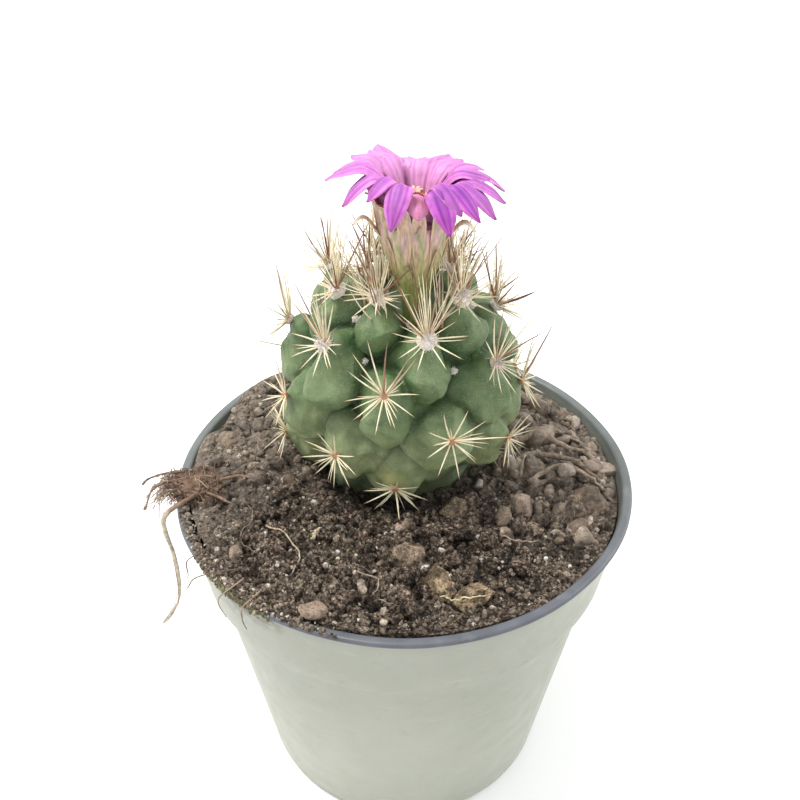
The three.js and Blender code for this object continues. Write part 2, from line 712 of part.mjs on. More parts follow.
// The woolly pad that the spines of one cushion stand in, just off the tubercle's tip
function padOf(place) {
  const radius = lerp(1.4, 2, smoothstep(0.2, 0.8, place.age));
  const seat = place.tip.clone().addScaledVector(place.facing, GAP + 0.75 * radius);
  return { radius, seat };
}

function areoleSolid(place) {
  const random = makeRandom(1000 + place.number);
  const { radius, seat } = padOf(place);
  const pad = new THREE.IcosahedronGeometry(1, 0).scale(radius, radius, 0.75 * radius);
  pad.applyQuaternion(new THREE.Quaternion().setFromUnitVectors(UP, place.facing));
  const solids = [toSolid(pad.translate(seat.x, seat.y, seat.z))];
  for (const wish of spineWishes(place, random)) {
    const spine = placeSpine(place, seat, wish);
    if (spine) {
      standing.push(spine);
      const start = spine.a.clone().lerp(spine.b, 0.3 * radius / spine.a.distanceTo(spine.b));
      solids.push(toSolid(taper(start, spine.b, wish.radius, 0, SPINE_SIDES)));
    }
  }
  return joined(solids);
}

// Bars that stand for the pads, the flower tube, the sepals and the stones
function fillStanding() {
  for (const t of TUBERCLES) {
    const { radius, seat } = padOf(t);
    standing.push(bar(seat, seat.clone().addScaledVector(t.facing, 0.1), radius, radius, t.number));
  }
  for (let i = 1; i < TUBE_OUTLINE.length - 2; i += 1) {
    const [radiusA, zA] = TUBE_OUTLINE[i];
    const [radiusB, zB] = TUBE_OUTLINE[i + 1];
    const [foot, head] = [zA, zB].map((z) => vec(FLOWER_X, FLOWER_Y, z));
    standing.push(bar(foot, head, radiusA, radiusB, 'flower'));
  }
  for (const { azimuth, stations } of SEPALS) {
    const [first, last] = [stations[0], stations[stations.length - 1]];
    const ends = [first, last].map(([r, z]) => vec(
      FLOWER_X + r * Math.sin(azimuth * DEG),
      FLOWER_Y - r * Math.cos(azimuth * DEG),
      z,
    ));
    standing.push(bar(ends[0], ends[1], 2, 2.6, 'flower'));
  }
  for (const stone of STONES) {
    const [reach, , halfZ] = stone.size;
    const middle = vec(stone.x, stone.y, soilHeight(stone.x, stone.y) + 0.2 * halfZ);
    standing.push(bar(middle, middle.clone().addScaledVector(UP, 0.1), reach, reach, 'stone'));
  }
}

const group = new THREE.Group();

function addPiece(name, solid, colour, roughness) {
  const material = new THREE.MeshStandardMaterial({ color: colour, roughness, metalness: 0 });
  const mesh = new THREE.Mesh(toGeometry(solid), material);
  mesh.name = name;
  group.add(mesh);
}

const stoneSolids = STONES.map((stone) => toSolid(stoneShape(stone, 0)));
const stoneSockets = STONES.map((stone) => toSolid(stoneShape(stone, GAP + 0.1)));
const plantHole = stumpSolid(HOLE_MARGIN, [[STUMP_RADIUS + HOLE_MARGIN, 100], [0, 100]]);
const padSocket = rootPadShape(GAP + 0.1);
const soilCuts = [plantHole, padSocket, ...stoneSockets];
const soil = soilCuts.reduce((whole, cut) => whole.subtract(cut), soilSolid());

fillStanding();
addPiece('pot', potSolid(), 0xbbbeaf, 0.45);
addPiece('soil', soil, 0x5b4e43, 1);
addPiece('cactus_body', bodySolid(), 0x5d7d55, 0.7);
for (const t of TUBERCLES) {
  const label = String(t.number - FIRST_TUBERCLE + 1).padStart(2, '0');
  addPiece(`areole_${label}`, areoleSolid(t), 0xd9c49a, 0.6);
}
addPiece('flower_tube', flowerTubeSolid(), 0x9a8f5f, 0.6);
addPiece('petals', petalSolid(), 0xc968d6, 0.5);
addPiece('stamens', stamenSolid(), 0xe39a5a, 0.6);
addPiece('stigma', stigmaSolid(), 0xe8d7a0, 0.6);
STONES.forEach((stone, i) => addPiece(stone.name, stoneSolids[i], stone.colour, 0.95));
addPiece('dry_roots', dryRootSolid(), 0x9b7350, 0.9);

export default group;
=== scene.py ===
"""A small round cactus in flower in a pale nursery pot. Lengths are in millimetres until a mesh is made."""
import math

import bmesh
import bpy
import numpy as np
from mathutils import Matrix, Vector, noise


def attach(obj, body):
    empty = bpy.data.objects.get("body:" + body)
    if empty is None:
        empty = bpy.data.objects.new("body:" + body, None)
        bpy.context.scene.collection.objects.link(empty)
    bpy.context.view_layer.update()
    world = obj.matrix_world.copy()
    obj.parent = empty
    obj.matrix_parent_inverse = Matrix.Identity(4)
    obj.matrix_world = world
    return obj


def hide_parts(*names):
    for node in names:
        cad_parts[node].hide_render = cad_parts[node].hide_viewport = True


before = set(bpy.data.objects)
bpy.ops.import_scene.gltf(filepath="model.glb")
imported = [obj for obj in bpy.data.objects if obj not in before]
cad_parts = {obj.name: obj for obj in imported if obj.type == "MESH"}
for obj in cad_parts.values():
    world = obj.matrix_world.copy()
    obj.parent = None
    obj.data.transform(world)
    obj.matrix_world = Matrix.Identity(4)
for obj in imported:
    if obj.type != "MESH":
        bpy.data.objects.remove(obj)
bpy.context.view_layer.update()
MM = 0.001

# Pot
RIM_RADIUS = 52.5
POT_HEIGHT = 84
FOOT_RADIUS = 36.5
WALL = 0.9
LIP_WIDTH = 1.9
LIP_THICKNESS = 1.2
LIP_EDGE = 0.4
COLLAR_DEPTH = 20
COLLAR_DRAFT = 2.8
LEDGE_STEP = 2.2
LEDGE_HEIGHT = 1.4
FOOT_EDGE = 1.5
RECESS_INNER = 16.5
RECESS_OUTER = 31.5
RECESS_DEPTH = 1.5
FLOOR_TOP = 2.6
DRAIN_HOLES = 6
DRAIN_RADIUS = 3.5
DRAIN_CIRCLE = 24
POT_SIDES = 168
POT_CORNER = 0.45
COLLAR_TOP = RIM_RADIUS - LIP_WIDTH + LIP_EDGE
COLLAR_BOTTOM = COLLAR_TOP - COLLAR_DRAFT
WAIST_RADIUS = COLLAR_BOTTOM - LEDGE_STEP
WAIST_HEIGHT = POT_HEIGHT - COLLAR_DEPTH - LEDGE_HEIGHT
GAP = 0.35

# Soil
SOIL_LEVEL = 82.4
SOIL_TILT = -0.015
SOIL_HEAP = 1.9
SOIL_EDGE_DROP = 0.4
SOIL_BUMP = 0.55
SOIL_RIM_RADIUS = 49.5
MOUND = (-33, 29, 3.2, 6.5)
DIP = (-43.5, 18.5, -3, 4)
TRENCH = 1.5
SOIL_RINGS = 150
SOIL_SIDES = 460
CRUMBS = 6200
SPILLED_CRUMBS = 850
MOSS_CRUMBS = 900
SMALL_CLODS = 200
PEBBLES = 250

# Plant body
BODY_X = -0.86
BODY_Y = 10.5
BODY_LEAN_X = 0.0166
BODY_LEAN_Y = -0.0116
BODY_HALF_WIDTH = 27.1
BODY_HALF_HEIGHT = 30.4
BODY_MIDDLE = 104.5
STUMP_RADIUS = 19.4
STUMP_BALL = (17, 17, 12.5)
STUMP_LEVEL = 82
BODY_VOXEL = 0.5
# Depth of the thin folds between lobes, and how far the lobes are pulled out of round
FOLD_DEPTH = 0.55
PULL = 1.7
# Lobes half hidden by the soil: degrees from the front
BURIED_LOBES = (-52, -104, 118, 171)

# Radii of a tubercle's tip, chin and root, and the chin's drop: old, grown and young
TIP_RADII = (3.2, 2.8, 2.1)
CHIN_RADII = (6.4, 5.3, 3.4)
ROOT_RADII = (8.6, 7, 4.6)
CHIN_DROPS = (4.2, 7.4, 4.6)

# Spiral of tubercles
FIRST_TUBERCLE = -1
LAST_TUBERCLE = 31
FLOWER_PLACE = 30
TURN = 137.588
START_AZIMUTH = -136.58
FIRST_HEIGHT = 86.19
RISE = 2.27
RISE_LOSS = 0.35 / 36
CROWN_HEIGHT = 131.2

# Tubercles that stand off the rule: (rise in mm, turn in degrees, outward in mm)
SHIFTS = {
    1: (1.5, -4, 0), 3: (-3, 0, 1.5), 4: (1.5, 6, 1), 11: (-1.5, 0, 1), 12: (-3, 0, 0),
    14: (3, 2, 0), 17: (-0.8, 8, 0), 19: (1, -2, 0), 20: (-2, 0, -2), 22: (0, 2.5, 0),
    23: (-3, 0, 0), 24: (-0.5, 0, -3), 25: (0.8, -17, -0.5), 26: (-4.5, 0, 0),
    27: (-0.6, -2, 0), 28: (-2.5, 0, 0), 29: (-2, 0, 0), 31: (-2, 0, 0),
}

# Flower
FLOWER_X = 1.8
FLOWER_Y = 0
TUBE_BOTTOM = 125.5
TUBE_TOP = 147.4
CUP_RADIUS = 7.4
CUP_HEIGHT = 2.2
CUP_FLOOR = TUBE_TOP + GAP + 0.6 * CUP_HEIGHT
PETAL_WIDTH = 5
STIGMA_HEIGHT = 4.4

# Spines: the height that none passes, half thicknesses, and how deep they stand in the wool
SPINE_TOP = 148
MAIN_SPINE = 0.195
CENTRAL_SPINE = 0.24
FINE_SPINE = 0.125
LONG_SPINE = 0.2
CROWN_SPINE = 0.14
SPINE_FOOT = 0.6

UP = np.array([0.0, 0.0, 1.0])


# Numbers

def unit(vectors):
    vectors = np.asarray(vectors, float)
    return vectors / np.maximum(np.linalg.norm(vectors, axis=-1, keepdims=True), 1e-9)


def lerp(a, b, t):
    return a + (b - a) * t


def smoothstep(a, b, x):
    t = np.clip((x - a) / (b - a), 0, 1)
    return t * t * (3 - 2 * t)


def away_at(azimuth):
    """The level direction so many radians from the front, towards the right."""
    return np.array([math.sin(azimuth), -math.cos(azimuth), 0.0])


def clouds(points, size, octaves=3, seed=0.0):
    """Soft noise from about -1 to 1 at each point, with features of that size in mm."""
    shift = Vector((seed * 13.7, seed * 7.3, seed * 3.1))
    return np.array([noise.fractal(Vector(p) / size + shift, 0.8, 2.1, octaves) for p in points])


def swirls(points, size, octaves, seed):
    """Soft noise in all three directions at each point."""
    return np.column_stack([clouds(points, size, octaves, seed + k) for k in range(3)])


# Meshes

def new_mesh(name, verts, faces):
    mesh = bpy.data.meshes.new(name)
    mesh.from_pydata((np.asarray(verts) * MM).tolist(), [], faces)
    return mesh


def put(name, data):
    """Puts a mesh, light or camera in the scene."""
    thing = bpy.data.objects.new(name, data)
    bpy.context.scene.collection.objects.link(thing)
    return thing


def add_data(mesh, name, values):
    layer = mesh.attributes.new(name, "FLOAT", "POINT")
    layer.data.foreach_set("value", np.asarray(values, np.float32))


def make_piece(name, parts, material, nodes=(), smooth=True):
    """Parts (verts, faces, data) become one piece of the plant, which rides with the pot."""
    verts, faces, data = merge(parts)
    mesh = new_mesh(name, verts, faces)
    mesh.validate()
    mesh.polygons.foreach_set("use_smooth", np.full(len(mesh.polygons), smooth))
    for key, values in data.items():
        add_data(mesh, key, values)
    mesh.materials.append(material)
    mesh.update()
    piece = put(name, mesh)
    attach(piece, "root")
    if nodes:
        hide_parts(*nodes)
    return piece


def merge(parts):
    """Joins (verts, faces, data) parts into one."""
    verts, faces, data = [], [], {}
    base = 0
    for part_verts, part_faces, part_data in parts:
        verts.append(part_verts)
        faces.extend([[i + base for i in face] for face in part_faces])
        base += len(part_verts)
        for key, values in part_data.items():
            data.setdefault(key, []).append(np.broadcast_to(values, len(part_verts)))
    return np.concatenate(verts), faces, {key: np.concatenate(rows) for key, rows in data.items()}


def lathe(profile, sides, x=0.0, y=0.0):
    """A closed turned solid from [radius, height] points that start and end on the axis."""
    profile = np.asarray(profile, float)
    angles = np.arange(sides) / sides * 2 * math.pi
    inner = profile[1:-1]
    rings = np.stack([
        inner[:, 0, None] * np.cos(angles) + x,
        inner[:, 0, None] * np.sin(angles) + y,
        np.repeat(inner[:, 1, None], sides, axis=1),
    ], axis=2).reshape(-1, 3)
    first, last = len(rings), len(rings) + 1
    verts = np.vstack([rings, [[x, y, profile[0, 1]], [x, y, profile[-1, 1]]]])
    faces = []
    for i in range(sides):
        j = (i + 1) % sides
        faces.append([first, j, i])
        for k in range(len(inner) - 1):
            a, b = k * sides, (k + 1) * sides
            faces.append([a + i, a + j, b + j, b + i])
        top = (len(inner) - 1) * sides
        faces.append([last, top + i, top + j])
    return verts, faces


def rounded(points, radius, steps=3):
    """An outline with its corners eased."""
    points = [np.array(p, float) for p in points]
    eased = [points[0]]
    for before, corner, after in zip(points, points[1:], points[2:]):
        cut = min(radius, np.linalg.norm(before - corner) / 2.2, np.linalg.norm(after - corner) / 2.2)
        start = corner + unit(before - corner) * cut
        end = corner + unit(after - corner) * cut
        for i in range(steps + 1):
            t = i / steps
            eased.append((1 - t) ** 2 * start + 2 * t * (1 - t) * corner + t * t * end)
    eased.append(points[-1])
    return eased


def tubes(paths, radii, sides):
    """Round tapered tubes along paths (count, stations, 3), with how far along each point is."""
    paths = np.asarray(paths, float)
    radii = np.asarray(radii, float)
    count, stations, _ = paths.shape
    along = unit(np.gradient(paths, axis=1))
    overall = unit(paths[:, -1] - paths[:, 0])
    steep = np.abs(overall[:, 2:]) > 0.8
    helper = np.where(steep, np.array([1.0, 0.0, 0.0]), UP)[:, None, :]
    side = unit(np.cross(along, helper))
    over = np.cross(side, along)
    angles = (np.arange(sides) / sides * 2 * math.pi)[:, None]
    ring = np.cos(angles) * side[:, :, None, :] + np.sin(angles) * over[:, :, None, :]
    verts = (paths[:, :, None, :] + radii[:, :, None, None] * ring).reshape(-1, 3)
    faces = []
    for tube in range(count):
        base = tube * stations * sides
        faces.append([base + i for i in range(sides)][::-1])
        for k in range(stations - 1):
            a = base + k * sides
            for i in range(sides):
                j = (i + 1) % sides
                faces.append([a + i, a + j, a + sides + j, a + sides + i])
        faces.append([base + (stations - 1) * sides + i for i in range(sides)])
    far = np.tile(np.repeat(np.linspace(0, 1, stations), sides), count)
    number = np.repeat(np.arange(count), stations * sides)
    return verts, faces, far, number


def unit_ball(subdivisions):
    """Points and triangles of a round ball of radius 1."""
    ball = bmesh.new()
    bmesh.ops.create_icosphere(ball, subdivisions=subdivisions, radius=1)
    verts = unit(np.array([v.co[:] for v in ball.verts]))
    faces = [[v.index for v in f.verts] for f in ball.faces]
    ball.free()
    return verts, faces


def random_turns(rng, count):
    """Random rotations as (count, 3, 3)."""
    q = unit(rng.normal(size=(count, 4)))
    w, x, y, z = q.T
    return np.stack([
        np.stack([1 - 2 * (y * y + z * z), 2 * (x * y - z * w), 2 * (x * z + y * w)], axis=1),
        np.stack([2 * (x * y + z * w), 1 - 2 * (x * x + z * z), 2 * (y * z - x * w)], axis=1),
        np.stack([2 * (x * z - y * w), 2 * (y * z + x * w), 1 - 2 * (x * x + y * y)], axis=1),
    ], axis=1)


def scatter_lumps(rng, places, sizes, subdivisions, roughness, cuts=0):
    """One lump of earth or stone at each place, sizes (count, 3) as half sizes, with so many flat faces."""
    ball, faces = unit_ball(subdivisions)
    count = len(places)
    lumps = np.repeat(ball[None], count, axis=0)
    for _ in range(cuts):
        face = unit(rng.normal(size=(count, 1, 3)))
        over = np.sum(lumps * face, axis=2, keepdims=True) - rng.uniform(0.5, 0.85, (count, 1, 1))
        lumps = lumps - 0.9 * np.maximum(over, 0) * face
    lumps = lumps * (1 + roughness * rng.normal(size=(count, len(ball), 1)))
    turns = random_turns(rng, count)
    lumps = np.einsum("nij,nkj->nki", turns, lumps * sizes[:, None, :])
    verts = (lumps + places[:, None, :]).reshape(-1, 3)
    rows = np.array(faces)[None] + (np.arange(count) * len(ball))[:, None, None]
    tint = np.repeat(rng.random(count), len(ball))
    return verts, rows.reshape(-1, 3).tolist(), {"tint": tint}


# Materials

class Paint:
    """Builds the nodes of one material."""

    def __init__(self, name, roughness, **constants):
        self.material = bpy.data.materials.new(name)
        self.material.use_nodes = True
        self.tree = self.material.node_tree
        self.shader = self.tree.nodes["Principled BSDF"]
        self.shader.inputs["Roughness"].default_value = roughness
        for key, value in constants.items():
            self.shader.inputs[key.replace("_", " ")].default_value = value
        self.place = self._node("TexCoord").outputs["Object"]

    def _give(self, socket, value):
        if isinstance(value, bpy.types.NodeSocket):
            self.tree.links.new(value, socket)
        elif isinstance(socket, bpy.types.NodeSocketColor):
            socket.default_value = (*value, 1)
        else:
            socket.default_value = value

    def _node(self, kind, **inputs):
        node = self.tree.nodes.new("ShaderNode" + kind)
        for key, value in inputs.items():
            self._give(node.inputs[key], value)
        return node

    def clouds(self, size, detail=3, roughness=0.55):
        """Noise with features of that size in mm."""
        scale = 1 / (size * MM)
        node = self._node("TexNoise", Vector=self.place, Scale=scale, Detail=detail, Roughness=roughness)
        return node.outputs["Fac"]

    def blots(self, low, high, *cloud):
        """Clouds that run from one grey to another, each given as (place, grey)."""
        return self.ramp(self.clouds(*cloud), low, high)

    def stretched(self, across, upright, detail):
        """Noise with one feature size across and another up the part, in mm."""
        scale = (1 / (across * MM), 1 / (across * MM), 1 / (upright * MM))
        mapping = self._node("Mapping", Vector=self.place, Scale=scale)
        node = self._node("TexNoise", Vector=mapping.outputs["Vector"], Scale=1, Detail=detail)
        return node.outputs["Fac"]

    def cells(self, size):
        """Distance to the nearest of points scattered about that many mm apart."""
        return self._node("TexVoronoi", Vector=self.place, Scale=1 / (size * MM)).outputs["Distance"]

    def data(self, name):
        node = self._node("Attribute")
        node.attribute_name = name
        return node.outputs["Fac"]

    def ramp(self, value, *stops):
        """Colours or greys at places from 0 to 1."""
        node = self._node("ValToRGB", Fac=value)
        band = node.color_ramp
        while len(band.elements) < len(stops):
            band.elements.new(0.5)
        for element, (where, colour) in zip(band.elements, stops):
            element.position = where
            element.color = (*colour, 1) if hasattr(colour, "__len__") else (colour, colour, colour, 1)
        return node.outputs["Color"]

    def mix(self, factor, a, b, kind="MIX"):
        node = self._node("Mix", Factor=factor)
        node.data_type = "RGBA"
        node.blend_type = kind
        self._give(node.inputs[6], a)
        self._give(node.inputs[7], b)
        return node.outputs[2]

    def multiply(self, colour, by):
        return self.mix(1.0, colour, by, "MULTIPLY")

    def cover(self, colour, coat, mask, amount):
        """Lays so much of a coat over the colour where the mask is 1."""
        return self.mix(self.times(mask, amount), colour, coat)

    def _maths(self, kind, a, b):
        node = self._node("Math")
        node.operation = kind
        self._give(node.inputs[0], a)
        self._give(node.inputs[1], b)
        return node.outputs[0]

    def times(self, a, b):
        return self._maths("MULTIPLY", a, b)

    def plus(self, a, b):
        return self._maths("ADD", a, b)

    def rest(self, a):
        """What is left to 1."""
        return self._maths("SUBTRACT", 1.0, a)

    def bump(self, height, depth, strength=1.0):
        """Relief of that depth in mm."""
        node = self._node("Bump", Strength=strength, Distance=depth * MM, Height=height)
        self._give(self.shader.inputs["Normal"], node.outputs["Normal"])

    def lay(self, colour):
        """Earth gets painted shade by the plant's foot and in the pits, painted light on the raised lumps,
        and is drier and paler at the back.
        """
        # Painted shade under the plant's foot.
        shade = self.ramp(self.data("near"), (0.0, 1.0), (1.0, 0.50))
        colour = self.multiply(colour, shade)
        # Painted shade in the pits and painted light on the raised lumps.
        pits = self.ramp(self.data("low"), (0.0, 1.3), (1.0, 0.42))
        colour = self.multiply(colour, pits)
        pale = self.ramp(self.clouds(1.7, 4, 0.65), (0.36, 0.15), (0.64, 0.70))
        return self.mix(self.times(pale, self.data("dry")), colour, (0.40, 0.34, 0.28))

    def finish(self, colour):
        self._give(self.shader.inputs["Base Color"], colour)
        return self.material


def pot_material():
    """Pale grey-green plastic with a blue-grey lip, scuffed and mossy under the lip at the left; painted
    light low down and painted shade on the front of the lip.
    """
    paint = Paint("pot_plastic", 0.42, IOR=1.48, Subsurface_Weight=0.1, Subsurface_Scale=0.002)
    base = paint.ramp(paint.clouds(26, 4), (0.3, (0.282, 0.298, 0.243)), (0.7, (0.318, 0.332, 0.275)))
    # Painted light: the pot is painted brighter towards its foot.
    rise = paint.ramp(paint.data("height"), (0.0, 1.2), (0.62, 0.96), (1.0, 0.93))
    base = paint.multiply(base, rise)
    back_lip = paint.ramp(paint.clouds(9, 4), (0.35, (0.122, 0.138, 0.135)), (0.7, (0.172, 0.192, 0.186)))
    # Painted shade: the front of the lip is painted darker and bluer than the back.
    shaded_front_lip = paint.ramp(paint.clouds(6, 4), (0.35, (0.078, 0.084, 0.100)), (0.7, (0.112, 0.120, 0.140)))
    lip = paint.mix(paint.data("front"), back_lip, shaded_front_lip)
    colour = paint.mix(paint.data("lip"), base, lip)
    scuffs = paint.ramp(paint.stretched(9, 2.2, 5), (0.60, 0.0), (0.70, 1.0))
    colour = paint.cover(colour, (0.52, 0.53, 0.46), scuffs, 0.11)
    specks = paint.blots((0.60, 0.0), (0.70, 1.0), 2.1, 4)
    smear = paint.blots((0.38, 0.0), (0.52, 1.0), 3.4, 6, 0.75)
    grime = paint.times(paint.data("grime"), smear)
    colour = paint.cover(colour, (0.10, 0.095, 0.055), grime, 0.9)
    dust = paint.times(paint.data("dust"), specks)
    colour = paint.cover(colour, (0.12, 0.09, 0.065), dust, 0.7)
    rough = paint.blots((0.3, 0.34), (0.7, 0.5), 5, 5)
    paint.tree.links.new(rough, paint.shader.inputs["Roughness"])
    paint.bump(paint.clouds(1.6, 4), 0.05, 0.5)
    return paint.finish(colour)


def soil_material(name="soil_earth", warmth=1.0):
    """Dark crumbly potting soil with pale specks, and painted shade in the pits and by the plant."""
    paint = Paint(name, 0.95, Specular_IOR_Level=0.2)
    crumbs = paint.ramp(
        paint.clouds(0.95, 6, 0.72),
        (0.38, (0.006 * warmth, 0.004, 0.003)), (0.47, (0.042 * warmth, 0.031, 0.022)),
        (0.56, (0.150 * warmth, 0.116, 0.086)), (0.68, (0.46 * warmth, 0.39, 0.31)),
    )
    patches = paint.blots((0.32, 0.62), (0.66, 1.3), 11, 4)
    colour = paint.multiply(crumbs, patches)
    specks = paint.ramp(paint.cells(0.75), (0.12, 1.0), (0.24, 0.0))
    specks = paint.times(specks, paint.blots((0.44, 0.0), (0.58, 1.0), 2.6, 2))
    colour = paint.cover(colour, (0.48, 0.42, 0.36), specks, 0.8)
    paint.bump(paint.clouds(0.5, 6, 0.8), 0.8)
    return paint.finish(paint.lay(colour))


def grain_material(name, dark, light, pale, relief, size, dusty=0.7):
    """Grains or pebbles, each with its own tone from dark to light to pale, under dark dust."""
    paint = Paint(name, 0.9, Specular_IOR_Level=0.3)
    tone = paint.ramp(paint.data("tint"), (0.0, dark), (0.8, light), (1.0, pale))
    mottle = paint.blots((0.3, 0.55), (0.7, 1.3), size, 5, 0.7)
    colour = paint.multiply(tone, mottle)
    dust = paint.blots((0.40, 1.0), (0.52, 0.0), 0.55, 5, 0.75)
    colour = paint.mix(paint.times(dust, dusty), colour, (0.030, 0.022, 0.016))
    paint.bump(paint.clouds(0.5 * size, 6, 0.75), relief)
    return paint.finish(paint.lay(colour))


def stone_material():
    """Lumps of dried loam, grey-brown to tan, with a crust of dark crumbs."""
    paint = Paint("stone_loam", 0.92, Specular_IOR_Level=0.2)
    tone = paint.ramp(
        paint.data("tint"), (0.1, (0.10, 0.072, 0.052)), (0.6, (0.27, 0.205, 0.155)),
        (1.0, (0.42, 0.310, 0.185)),
    )
    mottle = paint.blots((0.32, 0.42), (0.68, 1.35), 1.3, 6, 0.75)
    colour = paint.multiply(tone, mottle)
    crust = paint.blots((0.47, 0.0), (0.55, 1.0), 2.4, 6, 0.8)
    colour = paint.cover(colour, (0.060, 0.044, 0.032), crust, 0.68)
    pits = paint.blots((0.38, 1.0), (0.47, 0.0), 0.45, 4, 0.7)
    colour = paint.cover(colour, (0.022, 0.016, 0.011), pits, 0.8)
    flecks = paint.ramp(paint.cells(0.9), (0.10, 1.0), (0.20, 0.0))
    colour = paint.cover(colour, (0.55, 0.47, 0.36), flecks, 0.4)
    paint.bump(paint.clouds(0.6, 6, 0.8), 0.7)
    return paint.finish(paint.lay(colour))


def skin_material():
    """Matte green skin: painted shade in the creases and by the soil, painted light on the lobe bulges,
    paler and yellower low down.
    """
    paint = Paint(
        "cactus_skin", 0.56, Subsurface_Weight=0.15, Subsurface_Scale=0.002,
        Subsurface_Radius=(0.4, 0.8, 0.25), Specular_IOR_Level=0.4,
    )
    mottle = paint.clouds(4.5, 6, 0.62)
    fresh = paint.ramp(mottle, (0.34, (0.028, 0.072, 0.024)), (0.66, (0.090, 0.150, 0.054)))
    aged = paint.ramp(mottle, (0.34, (0.155, 0.210, 0.092)), (0.66, (0.340, 0.375, 0.210)))
    colour = paint.mix(paint.data("aged"), fresh, aged)
    bloom = paint.blots((0.46, 0.0), (0.70, 0.45), 12, 5, 0.6)
    colour = paint.mix(bloom, colour, (0.185, 0.245, 0.125))
    # Painted light: the lobe bulges, away from the folds, are painted lighter and yellower.
    tips = paint.blots((0.35, 0.35), (0.65, 1.0), 1.4, 5, 0.7)
    tips = paint.times(paint.data("bulge"), tips)
    colour = paint.cover(colour, (0.235, 0.290, 0.145), tips, 0.4)
    dots = paint.ramp(paint.cells(0.5), (0.10, 1.0), (0.26, 0.0))
    sparse = paint.blots((0.44, 0.0), (0.60, 1.0), 2.2, 3)
    dots = paint.times(dots, sparse)
    colour = paint.cover(colour, (0.42, 0.47, 0.31), dots, 0.75)
    yellow = paint.blots((0.56, 0.0), (0.70, 1.0), 6, 4, 0.6)
    yellow = paint.times(yellow, paint.data("aged"))
    colour = paint.cover(colour, (0.36, 0.34, 0.11), yellow, 0.55)
    # Painted shade in the folds, deep between the upper lobes and along the soil line.
    colour = paint.cover(colour, (0.020, 0.036, 0.015), paint.data("crease_shade"), 0.82)
    scars = paint.blots((0.64, 0.0), (0.72, 1.0), 2.6, 5, 0.7)
    scars = paint.times(scars, paint.data("worn"))
    colour = paint.cover(colour, (0.20, 0.125, 0.06), scars, 0.7)
    fine = paint.plus(paint.clouds(0.7, 5, 0.6), paint.times(dots, 0.5))
    paint.bump(fine, 0.14)
    return paint.finish(colour)


def spine_material():
    """Cream spines with an orange foot and brown tips; the centrals are red-brown all along."""
    paint = Paint("spine_straw", 0.45)
    pale = paint.ramp(
        paint.data("along"), (0.0, (0.62, 0.36, 0.20)), (0.12, (0.84, 0.72, 0.49)),
        (0.5, (0.90, 0.85, 0.63)), (0.88, (0.82, 0.69, 0.45)), (1.0, (0.38, 0.19, 0.10)),
    )
    dark = paint.ramp(
        paint.data("along"), (0.0, (0.42, 0.20, 0.10)), (0.25, (0.27, 0.075, 0.035)),
        (0.75, (0.14, 0.030, 0.018)), (1.0, (0.05, 0.018, 0.014)),
    )
    colour = paint.mix(paint.data("dark"), pale, dark)
    streaks = paint.blots((0.3, 0.75), (0.7, 1.15), 2.2, 3)
    return paint.finish(paint.multiply(colour, streaks))


def wool_material():
    """Felt of the areoles: orange-brown on the old ones, white on the young ones."""
    paint = Paint("areole_wool", 0.95, Sheen_Weight=0.4)
    colour = paint.mix(paint.data("young"), (0.42, 0.22, 0.11), (0.80, 0.74, 0.69))
    shade = paint.blots((0.3, 0.75), (0.7, 1.1), 0.8, 3)
    return paint.finish(paint.multiply(colour, shade))


def petal_material():
    """Silky petals: pale pink at the foot and the edges, with a purple band down the outer half, and
    painted shade that makes the petals towards the front and the left darker and more purple.
    """
    paint = Paint(
        "petal_silk", 0.48, Subsurface_Weight=0.15, Subsurface_Scale=0.001,
        Subsurface_Radius=(1.0, 0.2, 0.9), Specular_IOR_Level=0.3, Sheen_Weight=0.05, Sheen_Roughness=0.4,
    )
    light = paint.ramp(
        paint.data("along"), (0.10, (0.60, 0.30, 0.42)), (0.32, (0.55, 0.115, 0.46)),
        (0.70, (0.41, 0.032, 0.43)), (1.0, (0.33, 0.016, 0.30)),
    )
    deep = paint.ramp(
        paint.data("along"), (0.10, (0.50, 0.17, 0.36)), (0.32, (0.30, 0.014, 0.37)),
        (0.62, (0.155, 0.003, 0.28)), (1.0, (0.27, 0.008, 0.27)),
    )
    # Painted shade: the per-petal deep value paints the front and left petals darker and more purple.
    band = paint.times(paint.data("band"), paint.data("deep"))
    colour = paint.mix(band, light, deep)
    streak = paint.blots((0.38, 0.0), (0.62, 1.0), 1.3, 4, 0.6)
    streak = paint.plus(paint.times(streak, 0.5), 0.25)
    colour = paint.cover(colour, (0.68, 0.30, 0.58), paint.data("edge"), streak)
    # Painted light: petals with a low deep value, at the back, are painted paler.
    colour = paint.cover(colour, (0.68, 0.40, 0.54), paint.rest(paint.data("deep")), 0.64)
    colour = paint.cover(colour, (0.20, 0.006, 0.28), paint.data("vein"), 0.36)
    colour = paint.cover(colour, (0.66, 0.33, 0.56), paint.rest(paint.data("vein")), 0.26)
    colour = paint.cover(colour, (0.52, 0.17, 0.36), paint.data("under"), 0.55)
    colour = paint.mix(paint.data("tan"), colour, (0.54, 0.20, 0.32))
    soft = paint.blots((0.3, 0.82), (0.7, 1.14), 2.4, 3)
    paint.bump(paint.data("vein"), 0.16, 0.7)
    return paint.finish(paint.multiply(colour, soft))


